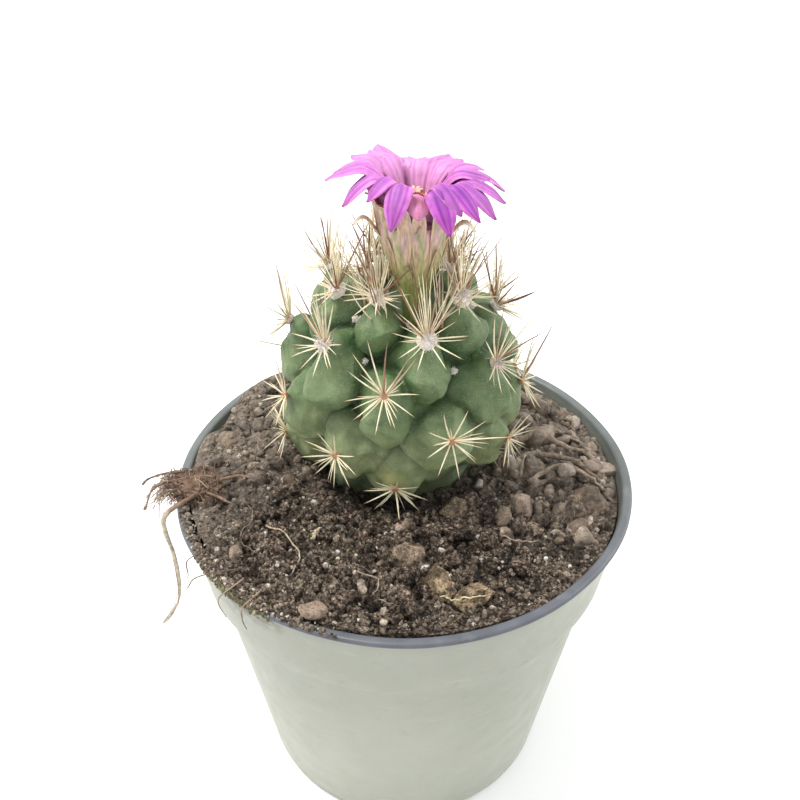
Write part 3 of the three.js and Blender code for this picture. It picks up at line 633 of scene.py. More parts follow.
def tube_material():
    """Fleshy tube: olive green at the foot, pink-tan above, with green strips."""
    paint = Paint("tube_flesh", 0.5, Subsurface_Weight=0.15, Subsurface_Scale=0.0015)
    low = paint.ramp(
        paint.data("along"), (0.0, (0.11, 0.16, 0.030)), (0.42, (0.21, 0.23, 0.060)),
        (0.64, (0.38, 0.30, 0.14)), (0.82, (0.52, 0.34, 0.24)), (1.0, (0.60, 0.36, 0.36)),
    )
    colour = paint.mix(paint.data("strip"), low, (0.27, 0.33, 0.11))
    colour = paint.mix(paint.data("pale"), colour, (0.82, 0.74, 0.56))
    mottle = paint.ramp(paint.stretched(0.55, 6, 4), (0.3, 0.6), (0.7, 1.3))
    paint.bump(paint.stretched(0.5, 4, 3), 0.12)
    return paint.finish(paint.multiply(colour, mottle))


def thread_material(name, foot, tip):
    """Threads that change colour from foot to tip."""
    paint = Paint(name, 0.5)
    colour = paint.ramp(paint.data("along"), (0.0, foot), (0.75, foot), (0.95, tip))
    shade = paint.blots((0.3, 0.8), (0.7, 1.15), 1.2, 3)
    return paint.finish(paint.multiply(colour, shade))


def root_material():
    """Dry fibres, each with its own brown."""
    paint = Paint("root_fibre", 0.9)
    colour = paint.ramp(
        paint.data("tint"), (0.0, (0.075, 0.048, 0.034)), (0.35, (0.24, 0.152, 0.104)),
        (0.65, (0.39, 0.285, 0.205)), (1.0, (0.68, 0.61, 0.48)),
    )
    shade = paint.blots((0.34, 0.68), (0.62, 1.35), 1.0, 6, 0.7)
    paint.bump(paint.clouds(0.7, 5, 0.75), 0.6)
    return paint.finish(paint.multiply(colour, shade))


def twig_material():
    """Grey-brown bark, dusted with earth."""
    paint = Paint("twig_bark", 0.92)
    colour = paint.ramp(
        paint.data("tint"), (0.2, (0.10, 0.074, 0.055)), (0.6, (0.30, 0.235, 0.180)),
        (1.0, (0.50, 0.42, 0.26)),
    )
    shade = paint.blots((0.34, 0.4), (0.66, 1.3), 0.9, 5, 0.7)
    paint.bump(paint.clouds(0.5, 4, 0.7), 0.3)
    return paint.finish(paint.lay(paint.multiply(colour, shade)))


def floor_material():
    paint = Paint("floor_paper", 0.8)
    return paint.finish(paint.blots((0.0, 0.93), (1.0, 0.97), 60, 2))


# Pot

def pot_piece():
    top = POT_HEIGHT
    under = top - LIP_THICKNESS
    ledge = top - COLLAR_DEPTH
    outline = [
        [0, 0], [RECESS_INNER, 0], [RECESS_INNER + RECESS_DEPTH, RECESS_DEPTH],
        [RECESS_OUTER - RECESS_DEPTH, RECESS_DEPTH], [RECESS_OUTER, 0],
        [FOOT_RADIUS - FOOT_EDGE, 0], [FOOT_RADIUS, FOOT_EDGE],
        [WAIST_RADIUS, WAIST_HEIGHT], [COLLAR_BOTTOM, ledge], [COLLAR_TOP, under],
        [RIM_RADIUS - LIP_EDGE, under], [RIM_RADIUS, under + LIP_EDGE],
        [RIM_RADIUS - LIP_EDGE, top], [COLLAR_TOP - LIP_EDGE, top],
        [COLLAR_TOP - WALL, top - LIP_EDGE], [COLLAR_BOTTOM - WALL, ledge],
        [WAIST_RADIUS - WALL, WAIST_HEIGHT], [FOOT_RADIUS - WALL, FLOOR_TOP], [0, FLOOR_TOP],
    ]
    profile = []
    corners = rounded(outline, POT_CORNER)
    for start, end in zip(corners, corners[1:]):
        steps = max(1, round(np.linalg.norm(end - start) / 4))
        profile.extend(start + (end - start) * i / steps for i in range(steps))
    profile.append(np.array([0, FLOOR_TOP], float))
    verts, faces = lathe(profile, POT_SIDES)
    angle = np.arctan2(verts[:, 1], verts[:, 0])
    warp = 0.22 * np.sin(2 * angle + 0.6) + 0.12 * np.sin(5 * angle + 2) + 0.05 * np.sin(11 * angle)
    verts[:, :2] *= (1 + warp * smoothstep(20, 84, verts[:, 2]) / RIM_RADIUS)[:, None]
    pot = make_piece("pot_shell", [(verts, faces, {})], pot_material(), ["pot"])
    cut_drain_holes(pot)
    mark_pot(pot.data)
    return pot


def cut_drain_holes(pot):
    reach = 2 * FLOOR_TOP
    profile = [[0, -reach], [DRAIN_RADIUS, -reach], [DRAIN_RADIUS, reach], [0, reach]]
    holes = []
    for i in range(DRAIN_HOLES):
        angle = i / DRAIN_HOLES * 2 * math.pi
        hole = lathe(profile, 32, DRAIN_CIRCLE * math.cos(angle), DRAIN_CIRCLE * math.sin(angle))
        holes.append((*hole, {}))
    verts, faces, _ = merge(holes)
    cutter = put("drain_cutter", new_mesh("drain_cutter", verts, faces))
    cut = pot.modifiers.new("drain_holes", "BOOLEAN")
    cut.operation = "DIFFERENCE"
    cut.solver = "EXACT"
    cut.object = cutter
    bake_modifiers(pot)
    bpy.data.objects.remove(cutter)


def bake_modifiers(piece):
    graph = bpy.context.evaluated_depsgraph_get()
    mesh = bpy.data.meshes.new_from_object(piece.evaluated_get(graph))
    piece.modifiers.clear()
    piece.data = mesh


def vertex_places(mesh):
    """Vertex places in mm."""
    places = np.empty(len(mesh.vertices) * 3)
    mesh.vertices.foreach_get("co", places)
    return places.reshape(-1, 3) / MM


# Dirt and moss on the outside of the collar: x, y, z and reach
GRIME_SPOTS = [
    (-42.3, -30, 80.5, 6), (-39.5, -34.4, 80, 7), (-36.5, -36.5, 79, 7), (-33.7, -38.5, 80, 7),
    (-28.7, -42.5, 80.5, 6),
]


def mark_pot(mesh):
    """Where the lip, the front (where the lip gets painted shade), the dirt and the dust are."""
    places = vertex_places(mesh)
    radius = np.hypot(places[:, 0], places[:, 1])
    height = places[:, 2]
    collar_foot = POT_HEIGHT - COLLAR_DEPTH
    grime = np.zeros(len(places))
    for x, y, z, reach in GRIME_SPOTS:
        gap = np.linalg.norm(places - np.array([x, y, z]), axis=1)
        grime = np.maximum(grime, smoothstep(reach, 0.35 * reach, gap))
    inner = COLLAR_BOTTOM + (height - collar_foot) * 0.115
    inside = smoothstep(0.0, 0.5, inner - radius) * (height > collar_foot)
    dust = 0.6 * inside + 0.5 * smoothstep(9, 0, height)
    dust = dust + 0.35 * smoothstep(3, 0, np.abs(height - collar_foot))
    add_data(mesh, "lip", smoothstep(POT_HEIGHT - 1.9, POT_HEIGHT - 1.1, height))
    add_data(mesh, "front", smoothstep(10, -42, places[:, 1]))
    add_data(mesh, "height", height / POT_HEIGHT)
    add_data(mesh, "grime", grime)
    add_data(mesh, "dust", np.clip(dust + 0.12, 0, 1))


# Soil

def soil_height(x, y):
    """Heaped at the front and the left, with a mound and a dip by the left rim."""
    edge = smoothstep(36, 48, np.hypot(x, y))
    from_plant = np.hypot(x - BODY_X, y - BODY_Y)
    wave = np.sin(0.31 * x + 1.3) * np.cos(0.27 * y - 0.4) + 0.6 * np.sin(0.55 * x - 0.42 * y)
    bumps = SOIL_BUMP * wave * smoothstep(24, 34, from_plant)
    heap = SOIL_HEAP * smoothstep(21, 36, from_plant) * smoothstep(34, -12, x + 0.45 * y)
    height = SOIL_LEVEL + SOIL_TILT * x + heap - SOIL_EDGE_DROP * edge + bumps
    for middle_x, middle_y, rise, spread in (MOUND, DIP):
        away = np.hypot(x - middle_x, y - middle_y) / spread
        height = height + rise * np.exp(-0.5 * away * away)
    return height


def soil_relief(x, y):
    """Lumps, crumbs and pits of the soil, flat by the rim, and a trench round the plant."""
    flat = np.column_stack([x, y, np.zeros(len(x))])
    swell = clouds(flat, 6.5, 3, 1.0)
    lumps = np.abs(clouds(flat, 4.6, 2, 9.0)) - 0.25
    crumbs = np.abs(clouds(flat, 2.2, 3, 5.0))
    front = smoothstep(16, -8, y)
    trench = TRENCH * smoothstep(25, 20.5, np.hypot(x - BODY_X, y - BODY_Y))
    level = smoothstep(SOIL_RIM_RADIUS + 0.8, 46, np.hypot(x, y))
    return (1.1 * swell + lerp(1.2, 2.6, front) * lumps + 1.1 * crumbs - 0.35 - trench) * level


def ground_data(verts):
    """How near the plant, how far back and how deep in a pit each point lies."""
    x, y = verts[:, 0], verts[:, 1]
    from_plant = np.hypot(x - BODY_X, y - BODY_Y)
    back = y + 0.5 * np.maximum(x, 0) + 26 * smoothstep(-24, -42, x)
    # Nearness to the plant and depth in a pit set where the earth gets painted shade.
    return {
        "near": smoothstep(27, 20.5, from_plant),
        "dry": smoothstep(-16, 26, back),
        "low": smoothstep(0.2, -1.0, soil_relief(x, y)),
    }


def earth_piece(name, parts, material, nodes=(), smooth=True):
    """A piece of the ground, which knows where it is near the plant, dry or deep."""
    verts, faces, data = merge(parts)
    data.update(ground_data(verts))
    return make_piece(name, [(verts, faces, data)], material, nodes, smooth)


def soil_piece():
    """The whole fill of the pot, with its uneven top."""
    inner = WALL + GAP
    radii = np.linspace(0.5, SOIL_RIM_RADIUS, SOIL_RINGS)
    angles = np.arange(SOIL_SIDES) / SOIL_SIDES * 2 * math.pi
    round_x, round_y = np.cos(angles), np.sin(angles)
    x, y = radii[:, None] * round_x, radii[:, None] * round_y
    top = np.stack([x, y, soil_height(x, y)], axis=2).reshape(-1, 3)
    top[:, 2] += soil_relief(top[:, 0], top[:, 1])
    side = [
        [SOIL_RIM_RADIUS - 1.3, 78], [COLLAR_BOTTOM - inner, POT_HEIGHT - COLLAR_DEPTH],
        [WAIST_RADIUS - inner, WAIST_HEIGHT], [FOOT_RADIUS - inner, FLOOR_TOP + GAP],
    ]
    rings = [np.column_stack([r * round_x, r * round_y, np.full(SOIL_SIDES, h)]) for r, h in side]
    verts = np.vstack([top, *rings, [[0, 0, soil_height(0.0, 0.0)], [0, 0, FLOOR_TOP + GAP]]])
    around = np.arange(SOIL_SIDES)
    ahead = (around + 1) % SOIL_SIDES
    rows = []
    for k in range(SOIL_RINGS + len(side) - 1):
        a, b = k * SOIL_SIDES, (k + 1) * SOIL_SIDES
        rows.append(np.column_stack([a + around, b + around, b + ahead, a + ahead]))
    faces = np.vstack(rows).tolist()
    last = (SOIL_RINGS + len(side) - 1) * SOIL_SIDES
    centre = len(verts) - 2
    pairs = list(zip(around.tolist(), ahead.tolist()))
    faces += [[centre, i, j] for i, j in pairs]
    faces += [[centre + 1, last + j, last + i] for i, j in pairs]
    return earth_piece("soil_bed", [(verts, faces, {})], soil_material(), nodes=["soil"])


def open_ground(rng, count, reach=SOIL_RIM_RADIUS - 0.4):
    """Random places on the soil that the plant doesn't cover."""
    spots = rng.uniform(-reach, reach, (6 * count, 2))
    inside = np.hypot(spots[:, 0], spots[:, 1]) < reach
    clear = np.hypot(spots[:, 0] - BODY_X, spots[:, 1] - BODY_Y) > STUMP_RADIUS - 1.5
    return spots[inside & clear][:count]


def on_ground(spots, lift):
    x, y = spots.T
    return np.column_stack([x, y, soil_height(x, y) + soil_relief(x, y) + lift])


# Crumbs and moss by the lip start, lie thickest and end at these degrees from the front
SPILL = (-84, -42, -14)
MOSS = (-58, -42, -30)


def spilled(rng, count):
    """Places on the lip, thickest at the middle of the spill."""
    turn = np.radians(rng.triangular(*SPILL, count))
    radius = RIM_RADIUS - 0.3 - rng.gamma(1.5, 0.8, count).clip(0, 3.2)
    lift = POT_HEIGHT + rng.uniform(-0.1, 0.5, count)
    return np.column_stack([radius * np.sin(turn), -radius * np.cos(turn), lift])


def grit_piece():
    """Fine crumbs of soil, some of them spilled on the lip."""
    rng = np.random.default_rng(21)
    spots = open_ground(rng, CRUMBS)
    sizes = rng.gamma(3.2, 0.105, (len(spots), 1)).clip(0.14, 0.9) * rng.uniform(0.65, 1.3, (len(spots), 3))
    places = np.vstack([on_ground(spots, 0.15 * sizes[:, 0]), spilled(rng, SPILLED_CRUMBS)])
    more = rng.uniform(0.2, 0.85, (SPILLED_CRUMBS, 3)) * rng.uniform(0.4, 1, (SPILLED_CRUMBS, 1))
    crumbs = scatter_lumps(rng, places, np.vstack([sizes, more]), 1, 0.16)
    material = grain_material(
        "soil_grit", (0.022, 0.015, 0.011), (0.218, 0.172, 0.129), (0.56, 0.50, 0.43), 0.25, 0.6)
    return earth_piece("soil_grit", [crumbs], material, smooth=False)


def moss_piece():
    """Crumbs and dull moss that cling to the collar under the lip at the left."""
    rng = np.random.default_rng(48)
    turn = np.radians(rng.triangular(*MOSS, MOSS_CRUMBS))
    on_lip = rng.random(MOSS_CRUMBS) < 0.5
    near_lip = rng.uniform(0, LIP_THICKNESS, MOSS_CRUMBS)
    drop = np.where(on_lip, near_lip, 2.2 + rng.gamma(1.2, 0.8, MOSS_CRUMBS).clip(0, 4))
    collar = COLLAR_TOP - COLLAR_DRAFT * drop / COLLAR_DEPTH
    radius = np.where(on_lip, RIM_RADIUS - 0.1, collar) + rng.uniform(-0.1, 0.25, MOSS_CRUMBS)
    places = np.column_stack([radius * np.sin(turn), -radius * np.cos(turn), POT_HEIGHT - drop])
    sizes = rng.uniform(0.12, 0.5, (MOSS_CRUMBS, 1)) * rng.uniform(0.6, 1.3, (MOSS_CRUMBS, 3))
    crumbs = scatter_lumps(rng, places, sizes, 1, 0.2)
    material = grain_material(
        "moss_dull", (0.050, 0.042, 0.026), (0.17, 0.155, 0.085), (0.42, 0.40, 0.28), 0.2, 0.5, 0.4)
    return make_piece("collar_moss", [crumbs], material, smooth=False)


# Crusty clods that stand out: x, y and half size
BIG_CLODS = [
    (-0.5, -17.6, 2.6), (4.6, -22.6, 3.0), (11, -20.8, 3.6), (18.6, -23.4, 3.3), (14.9, -9.4, 2.6),
    (-17.2, -24, 2.2), (-4.7, -45.8, 1.9), (0.8, -44.8, 2.0), (24, -31, 2.6), (38.4, -13.6, 3.2),
    (43.2, -15.4, 2.7), (36, -3.5, 3.0), (-7.2, -30.2, 2.3), (-27, -28, 2.2), (-30, 2, 2.4),
    (-38, -3, 2.2), (29, -19.5, 2.6), (22.4, 24, 2.6), (9.6, -31.6, 2.4),
]


def lumpy(part, depth, size, seed):
    """Pushes the points of a part about by soft noise."""
    verts, faces, data = part
    return verts + depth * swirls(verts, size, 3, seed), faces, data


def listed(rows, rng, least):
    """Places, and half sizes with some chance in them, from rows of x, y and half size."""
    rows = np.array(rows)
    return rows[:, :2], rows[:, 2:] * rng.uniform(least, 1.15, (len(rows), 3))


def clods_piece():
    """Loose lumps of earth, 1 to 7 mm across, thick at the front and the left."""
    rng = np.random.default_rng(77)
    spots = open_ground(rng, 900, 48)
    likely = 0.25 + 0.5 * smoothstep(22, -16, spots[:, 0] + 0.45 * spots[:, 1])
    spots = spots[rng.random(len(spots)) < likely][:SMALL_CLODS]
    half = 0.7 + rng.gamma(1.8, 0.4, (len(spots), 1)).clip(0, 1.7)
    sizes = half * rng.uniform(0.65, 1.15, (len(spots), 3))
    small = scatter_lumps(rng, on_ground(spots, 0.15 * sizes[:, 2]), sizes, 3, 0.03, 5)
    spots, sizes = listed(BIG_CLODS, rng, 0.75)
    big = scatter_lumps(rng, on_ground(spots, 0.2 * sizes[:, 2]), sizes, 4, 0.012, 9)
    parts = [lumpy(small, 0.3, 1.1, 3), lumpy(lumpy(big, 0.5, 2.4, 6), 0.22, 0.7, 9)]
    return earth_piece("soil_clods", parts, soil_material("clod_earth", 1.05))


# Pale chips of stone by the rim: x, y, half sizes and tone
CHIPS = [
    (-18.3, -44.6, (3.4, 2.4, 1.1), 0.45), (39, -19, (1.4, 1.1, 0.9), 0.9), (40.4, -23, (1.3, 1, 0.8), 0.9),
    (-41.5, 13, (1.7, 1.3, 1.1), 0.8), (-36.5, 20, (1.9, 1.5, 1.2), 0.8),
]


def broken_ball(rng, subdivisions, cuts):
    """A ball with so many sides broken flat, its faces, and the ball that it was."""
    ball, faces = unit_ball(subdivisions)
    shape = ball.copy()
    for _ in range(cuts):
        cut = unit(rng.normal(size=3))
        over = np.maximum(shape @ cut - rng.uniform(0.55, 0.85), 0)
        shape -= 0.92 * over[:, None] * cut
    return shape, faces, ball


def chip(rng, x, y, half, tone):
    """A broken flat stone lying on the soil."""
    shape, faces, _ = broken_ball(rng, 4, 8)
    place = on_ground(np.array([[x, y]]), 0.3 * half[2])
    return shape * np.array(half) + place, faces, {"tint": tone}


def pebbles_piece():
    """Dusty rounded pebbles, most of them at the right and the back."""
    rng = np.random.default_rng(34)
    spots = open_ground(rng, 1400, 47.5)
    likely = 0.03 + 0.8 * smoothstep(10, 34, spots[:, 0]) * smoothstep(-30, -8, spots[:, 1])
    likely += 0.3 * smoothstep(25, 40, spots[:, 1])
    spots = spots[rng.random(len(spots)) < likely][:PEBBLES]
    half = 0.7 + rng.gamma(1.5, 0.65, (len(spots), 1)).clip(0, 2.5)
    sizes = half * rng.uniform([0.8, 0.65, 0.55], [1.35, 1.1, 0.9], (len(spots), 3))
    pebbles = scatter_lumps(rng, on_ground(spots, 0.2 * half[:, 0]), sizes, 3, 0.012, 6)
    stones = merge([pebbles] + [chip(rng, *row) for row in CHIPS])
    material = grain_material(
        "pebble_dusty", (0.130, 0.092, 0.066), (0.34, 0.262, 0.200), (0.50, 0.425, 0.355), 0.35, 1.0, 0.6)
    return earth_piece("soil_pebbles", [lumpy(stones, 0.3, 2.0, 6)], material)


# White perlite: x, y and half size
PERLITE = [
    (4.3, -32.4, 0.9), (25.3, 5.4, 0.9), (26.8, -6, 0.7), (-8.5, -36, 0.5), (33, -20, 0.8),
    (40.1, 25.1, 0.9), (-30, -22, 0.5), (20, -30, 0.5), (-36, 22, 0.7), (12, 42, 0.8), (46, -3, 0.7),
    (-22, -16, 0.4), (-14, -28, 0.5), (-4, -22, 0.45), (16, -22, 0.5), (-26, -34, 0.4), (30, -28, 0.5),
]


def perlite_piece():
    rng = np.random.default_rng(55)
    spots, sizes = listed(PERLITE, rng, 0.8)
    grains = scatter_lumps(rng, on_ground(spots, 0.4), sizes, 2, 0.06)
    material = grain_material(
        "perlite_white", (0.38, 0.36, 0.34), (0.55, 0.54, 0.52), (0.72, 0.70, 0.68), 0.2, 0.8)
    return make_piece("soil_perlite", [grains], material, smooth=False)


# Stones: x, y, half sizes, turn in degrees and tone from dark to pale
STONES = {
    "stone_large_right": (42, -8.5, (5.2, 4.4, 3.8), 60, 0.8),
    "stone_grey_front": (11.4, -12.5, (3.6, 3, 2.8), 20, 0.75),
    "stone_tan_front": (6.8, -37.2, (4, 3.6, 2.8), -15, 0.95),
    "stone_tan_rim": (14.8, -39.5, (4.6, 3, 2.4), 25, 0.95),
    "stone_brown_middle": (0.6, -29, (3.6, 3.2, 2.8), 40, 0.7),
    "stone_pale_left": (-42.5, 9.5, (4.2, 3.2, 2.2), 30, 0.72),
    "stone_brown_right": (30.5, 2.5, (4.2, 3.4, 3), 80, 0.65),
    "stone_far_right": (38, 17, (3.6, 2.8, 2.2), -50, 0.7),
}


def stone_pieces():
    material = stone_material()
    for seed, (name, (x, y, half, turn, tone)) in enumerate(STONES.items()):
        shape, faces, ball = broken_ball(np.random.default_rng(70 + seed), 5, 11)
        shape *= (1.1 + 0.13 * clouds(ball, 0.4, 5, seed) + 0.075 * clouds(ball, 0.13, 3, seed))[:, None]
        cos, sin = math.cos(math.radians(turn)), math.sin(math.radians(turn))
        verts = (shape * np.array(half)) @ np.array([[cos, -sin, 0], [sin, cos, 0], [0, 0, 1]]).T
        verts += [x, y, soil_height(x, y) + 0.2 * half[2]]
        tint = tone + 0.15 * clouds(verts, 3, 3, seed)
        earth_piece(name + "_rock", [(verts, faces, {"tint": tint})], material, [name])


# Plant body

def cushion(number):
    """Where the spiral puts one spine cushion, and the directions around it."""
    rise, turn, outward = SHIFTS.get(number, (0, 0, 0))
    rule = FIRST_HEIGHT + RISE * number * (1 - RISE_LOSS * max(number, 0))
    level = min((rule - BODY_MIDDLE) / BODY_HALF_HEIGHT, 0.985)
    radius = BODY_HALF_WIDTH * math.sqrt(1 - level * level) + outward
    away = away_at(math.radians(START_AZIMUTH + TURN * number + turn))
    z = min(rule, CROWN_HEIGHT - 0.25 * (number - 27)) + rise
    over = z - STUMP_LEVEL
    tip = np.array([BODY_X + BODY_LEAN_X * over, BODY_Y + BODY_LEAN_Y * over, z]) + radius * away
    normal = away * (radius / BODY_HALF_WIDTH ** 2)
    normal[2] = level / BODY_HALF_HEIGHT
    normal = unit(normal)
    meridian = unit(UP - normal * normal[2])
    facing = unit(normal + 0.22 * UP)
    upward = unit(meridian - facing * (meridian @ facing))
    return {
        "number": number, "age": max(number, 0) / LAST_TUBERCLE, "tip": tip, "normal": normal,
        "meridian": meridian, "facing": facing, "upward": upward, "sideways": np.cross(upward, facing),
    }


def make_tubercle(number):
    """A blunt tip, a chin that hangs below it, and a root sunk in the core."""
    t = cushion(number)
    middle = smoothstep(0.28, 0.46, t["age"])
    crown = smoothstep(0.6, 1, t["age"])

    def blend(old, grown, young):
        return lerp(lerp(old, grown, middle), young, crown)

    t["tip_radius"] = blend(*TIP_RADII)
    t["chin_radius"] = blend(*CHIN_RADII)
    t["root_radius"] = blend(*ROOT_RADII)
    sunk = lerp(1.6, 3.4, middle)
    t["tip_ball"] = t["tip"] - t["tip_radius"] * t["facing"]
    t["chin"] = t["tip"] - (t["chin_radius"] + 0.2) * t["normal"] - blend(*CHIN_DROPS) * t["meridian"]
    t["root"] = t["tip"] - (t["root_radius"] + sunk) * t["normal"] - sunk * t["meridian"]
    return t


TUBERCLES = [make_tubercle(n) for n in range(FIRST_TUBERCLE, LAST_TUBERCLE + 1) if n != FLOWER_PLACE]
CORE_CENTRE = np.array([BODY_X, BODY_Y, BODY_MIDDLE])
CORE_HALF = np.array([BODY_HALF_WIDTH - 7, BODY_HALF_WIDTH - 7, BODY_HALF_HEIGHT - 8])


def round_cone(p, a, b, radius_a, radius_b):
    """Distance from points to two balls and the cone that joins them."""
    ba = b - a
    span = ba @ ba
    slope = radius_a - radius_b
    reach = span - slope * slope
    pa = p - a
    along = pa @ ba
    beyond = along - span
    side = np.sum((pa * span - np.outer(along, ba)) ** 2, axis=1)
    back = along * along * span
    front = beyond * beyond * span
    k = np.sign(slope) * slope * slope * side
    at_b = np.sign(beyond) * reach * front > k
    at_a = ~at_b & (np.sign(along) * reach * back < k)
    gap = (np.sqrt(side * reach / span) + along * slope) / span - radius_a
    gap = np.where(at_b, np.sqrt(side + front) / span - radius_b, gap)
    return np.where(at_a, np.sqrt(side + back) / span - radius_a, gap)


def smooth_min(a, b, blend):
    h = np.maximum(blend - np.abs(a - b), 0) / blend
    return np.minimum(a, b) - h * h * blend * 0.25


def tubercle_gap(p, t):
    nose = round_cone(p, t["tip_ball"], t["chin"], t["tip_radius"], t["chin_radius"])
    stem = round_cone(p, t["chin"], t["root"], t["chin_radius"], t["root_radius"])
    neck = round_cone(p, t["tip_ball"], t["root"], t["tip_radius"], t["root_radius"])
    return smooth_min(smooth_min(nose, stem, 2.0), neck, 2.0)


def core_gap(p):
    return (np.linalg.norm((p - CORE_CENTRE) / CORE_HALF, axis=1) - 1) * CORE_HALF[0]


def gaps_to_lobes(p):
    """Distance to each tubercle, (tubercles, points); far ones only roughly."""
    rows = []
    for t in LOBES:
        gap = np.full(len(p), 50.0)
        near = np.sum((p - t["root"]) ** 2, axis=1) < 26 ** 2
        gap[near] = tubercle_gap(p[near], t)
        rows.append(gap)
    return np.array(rows)


def body_gap(p):
    """Distance to the skin; the low, old lobes run into each other, the young ones stay apart."""
    gap = core_gap(p)
    for t, row in zip(LOBES, gaps_to_lobes(p)):
        gap = smooth_min(gap, row, lerp(2.8, 0.8, smoothstep(0.1, 0.42, t["age"])))
    return gap


def buried_lobe(azimuth):
    away = away_at(math.radians(azimuth))
    axis = np.array([BODY_X, BODY_Y, 0])
    return {
        "tip_ball": axis + 16.2 * away + 82.8 * UP, "chin": axis + 12.6 * away + 78.5 * UP,
        "root": axis + 9 * away + 84.5 * UP, "tip_radius": 3.2, "chin_radius": 6.4, "root_radius": 7.4,
        "age": 0,
    }


LOBES = TUBERCLES + [buried_lobe(azimuth) for azimuth in BURIED_LOBES]


def lobe_part(t, ball, faces):
    """The surface of one tubercle, found along each direction from a point inside it."""
    inner = (t["chin"] + t["root"]) / 2
    near = np.zeros(len(ball))
    far = np.full(len(ball), 30.0)
    for _ in range(16):
        middle = (near + far) / 2
        inside = tubercle_gap(inner + ball * middle[:, None], t) < 0
        near = np.where(inside, middle, near)
        far = np.where(inside, far, middle)
    return inner + ball * near[:, None], faces, {}


def fused_body():
    """Lobes, core and foot melted into one closed skin."""
    ball, faces = unit_ball(4)
    parts = [lobe_part(t, ball, faces) for t in LOBES]
    parts.append((ball * CORE_HALF + CORE_CENTRE, faces, {}))
    foot = np.array([BODY_X, BODY_Y, STUMP_LEVEL])
    parts.append((ball * np.array(STUMP_BALL) + foot, faces, {}))
    body = make_piece("plant_body", parts, skin_material(), ["cactus_body"])
    remesh = body.modifiers.new("fuse", "REMESH")
    remesh.mode = "VOXEL"
    remesh.voxel_size = BODY_VOXEL * MM
    bake_modifiers(body)
    return body


def folds(places):
    """Distance to the second nearest lobe, depth of the fold, and the painted shade of the crease."""
    height = places[:, 2]
    nearest, second = np.sort(gaps_to_lobes(places), axis=0)[:2]
    apart = (second - nearest) * smoothstep(4, 2, second) + 3 * smoothstep(2, 4, second)
    drawn = smoothstep(-0.35, 0.25, clouds(places, 6, 2, 11))
    fold = np.exp(-(apart / 0.8) ** 2) * lerp(lerp(0.3, 1, drawn), 1, smoothstep(96, 108, height))
    # Painted shade where the skin sinks towards the core, widest between the upper lobes, and along the
    # soil line.
    sunken_shade = smoothstep(lerp(0.8, 3.8, smoothstep(98, 112, height)), -0.2, core_gap(places))
    crease_shade = np.maximum(0.9 * np.exp(-apart / 0.5) * fold ** 0.5, sunken_shade)
    crease_shade = np.maximum(crease_shade, 0.92 * smoothstep(86.2, 82.8, height))
    return second, fold, crease_shade


def body_piece():
    """The skin, with thin folds and creases between its lobes."""
    body = fused_body()
    mesh = body.data
    places = vertex_places(mesh)
    free = places[:, 2] > STUMP_LEVEL
    for _ in range(3):
        places = settle(places, free)
    second, fold, crease_shade = folds(places)
    normals = np.empty(len(places) * 3)
    mesh.vertices.foreach_get("normal", normals)
    bulge = 0.6 * clouds(places, 9, 3, 3) + 0.22 * clouds(places, 3.6, 3, 5)
    bulge = bulge + 0.05 * clouds(places, 1.2, 3, 8)
    places += normals.reshape(-1, 3) * ((bulge - FOLD_DEPTH * fold) * free)[:, None]
    tips = np.array([t["tip"] for t in TUBERCLES])
    to_tip = np.min(np.linalg.norm(places[:, None] - tips[None], axis=2), axis=1)
    places += PULL * swirls(places, 9, 2, 20) * (free * smoothstep(2.5, 7, to_tip))[:, None]
    mesh.vertices.foreach_set("co", (places * MM).ravel())
    mesh.polygons.foreach_set("use_smooth", np.ones(len(mesh.polygons), bool))
    mesh.update()
    height = places[:, 2]
    add_data(mesh, "crease_shade", np.clip(crease_shade, 0, 1))
    add_data(mesh, "aged", smoothstep(114, 92, height) * 0.95)
    add_data(mesh, "bulge", smoothstep(1.2, 5, second))
    add_data(mesh, "worn", np.clip(smoothstep(100, 86, height) + 0.25, 0, 1))
    return body


def settle(places, free):
    """Moves points onto the true surface of the body."""
    gap = body_gap(places)
    step = 0.05
    slope = np.stack([body_gap(places + step * np.eye(3)[i]) - gap for i in range(3)], axis=1) / step
    slope = unit(slope)
    return places - (np.clip(gap, -0.5, 0.5) * free)[:, None] * slope


# Spines

def areole_label(number):
    return f"areole_{number - FIRST_TUBERCLE + 1:02d}"


def pad_of(t):
    radius = lerp(1.4, 2, smoothstep(0.2, 0.8, t["age"]))
    return radius, t["tip"] + t["facing"] * (GAP + 0.75 * radius)


def needle_tips(t):
    """Ends of the needles that the solid areole carries."""
    radius, seat = pad_of(t)
    places = vertex_places(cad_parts[areole_label(t["number"])].data)
    far = places[np.linalg.norm(places - seat, axis=1) > 2.2 * radius]
    return np.unique(np.round(far, 1), axis=0)


def splayed(t, around, lift):
    """The direction so far round the pad from its upper side, and so far off its plane."""
    flat = t["upward"] * math.cos(around) + t["sideways"] * math.sin(around)
    return flat * math.cos(lift) + t["facing"] * math.sin(lift)


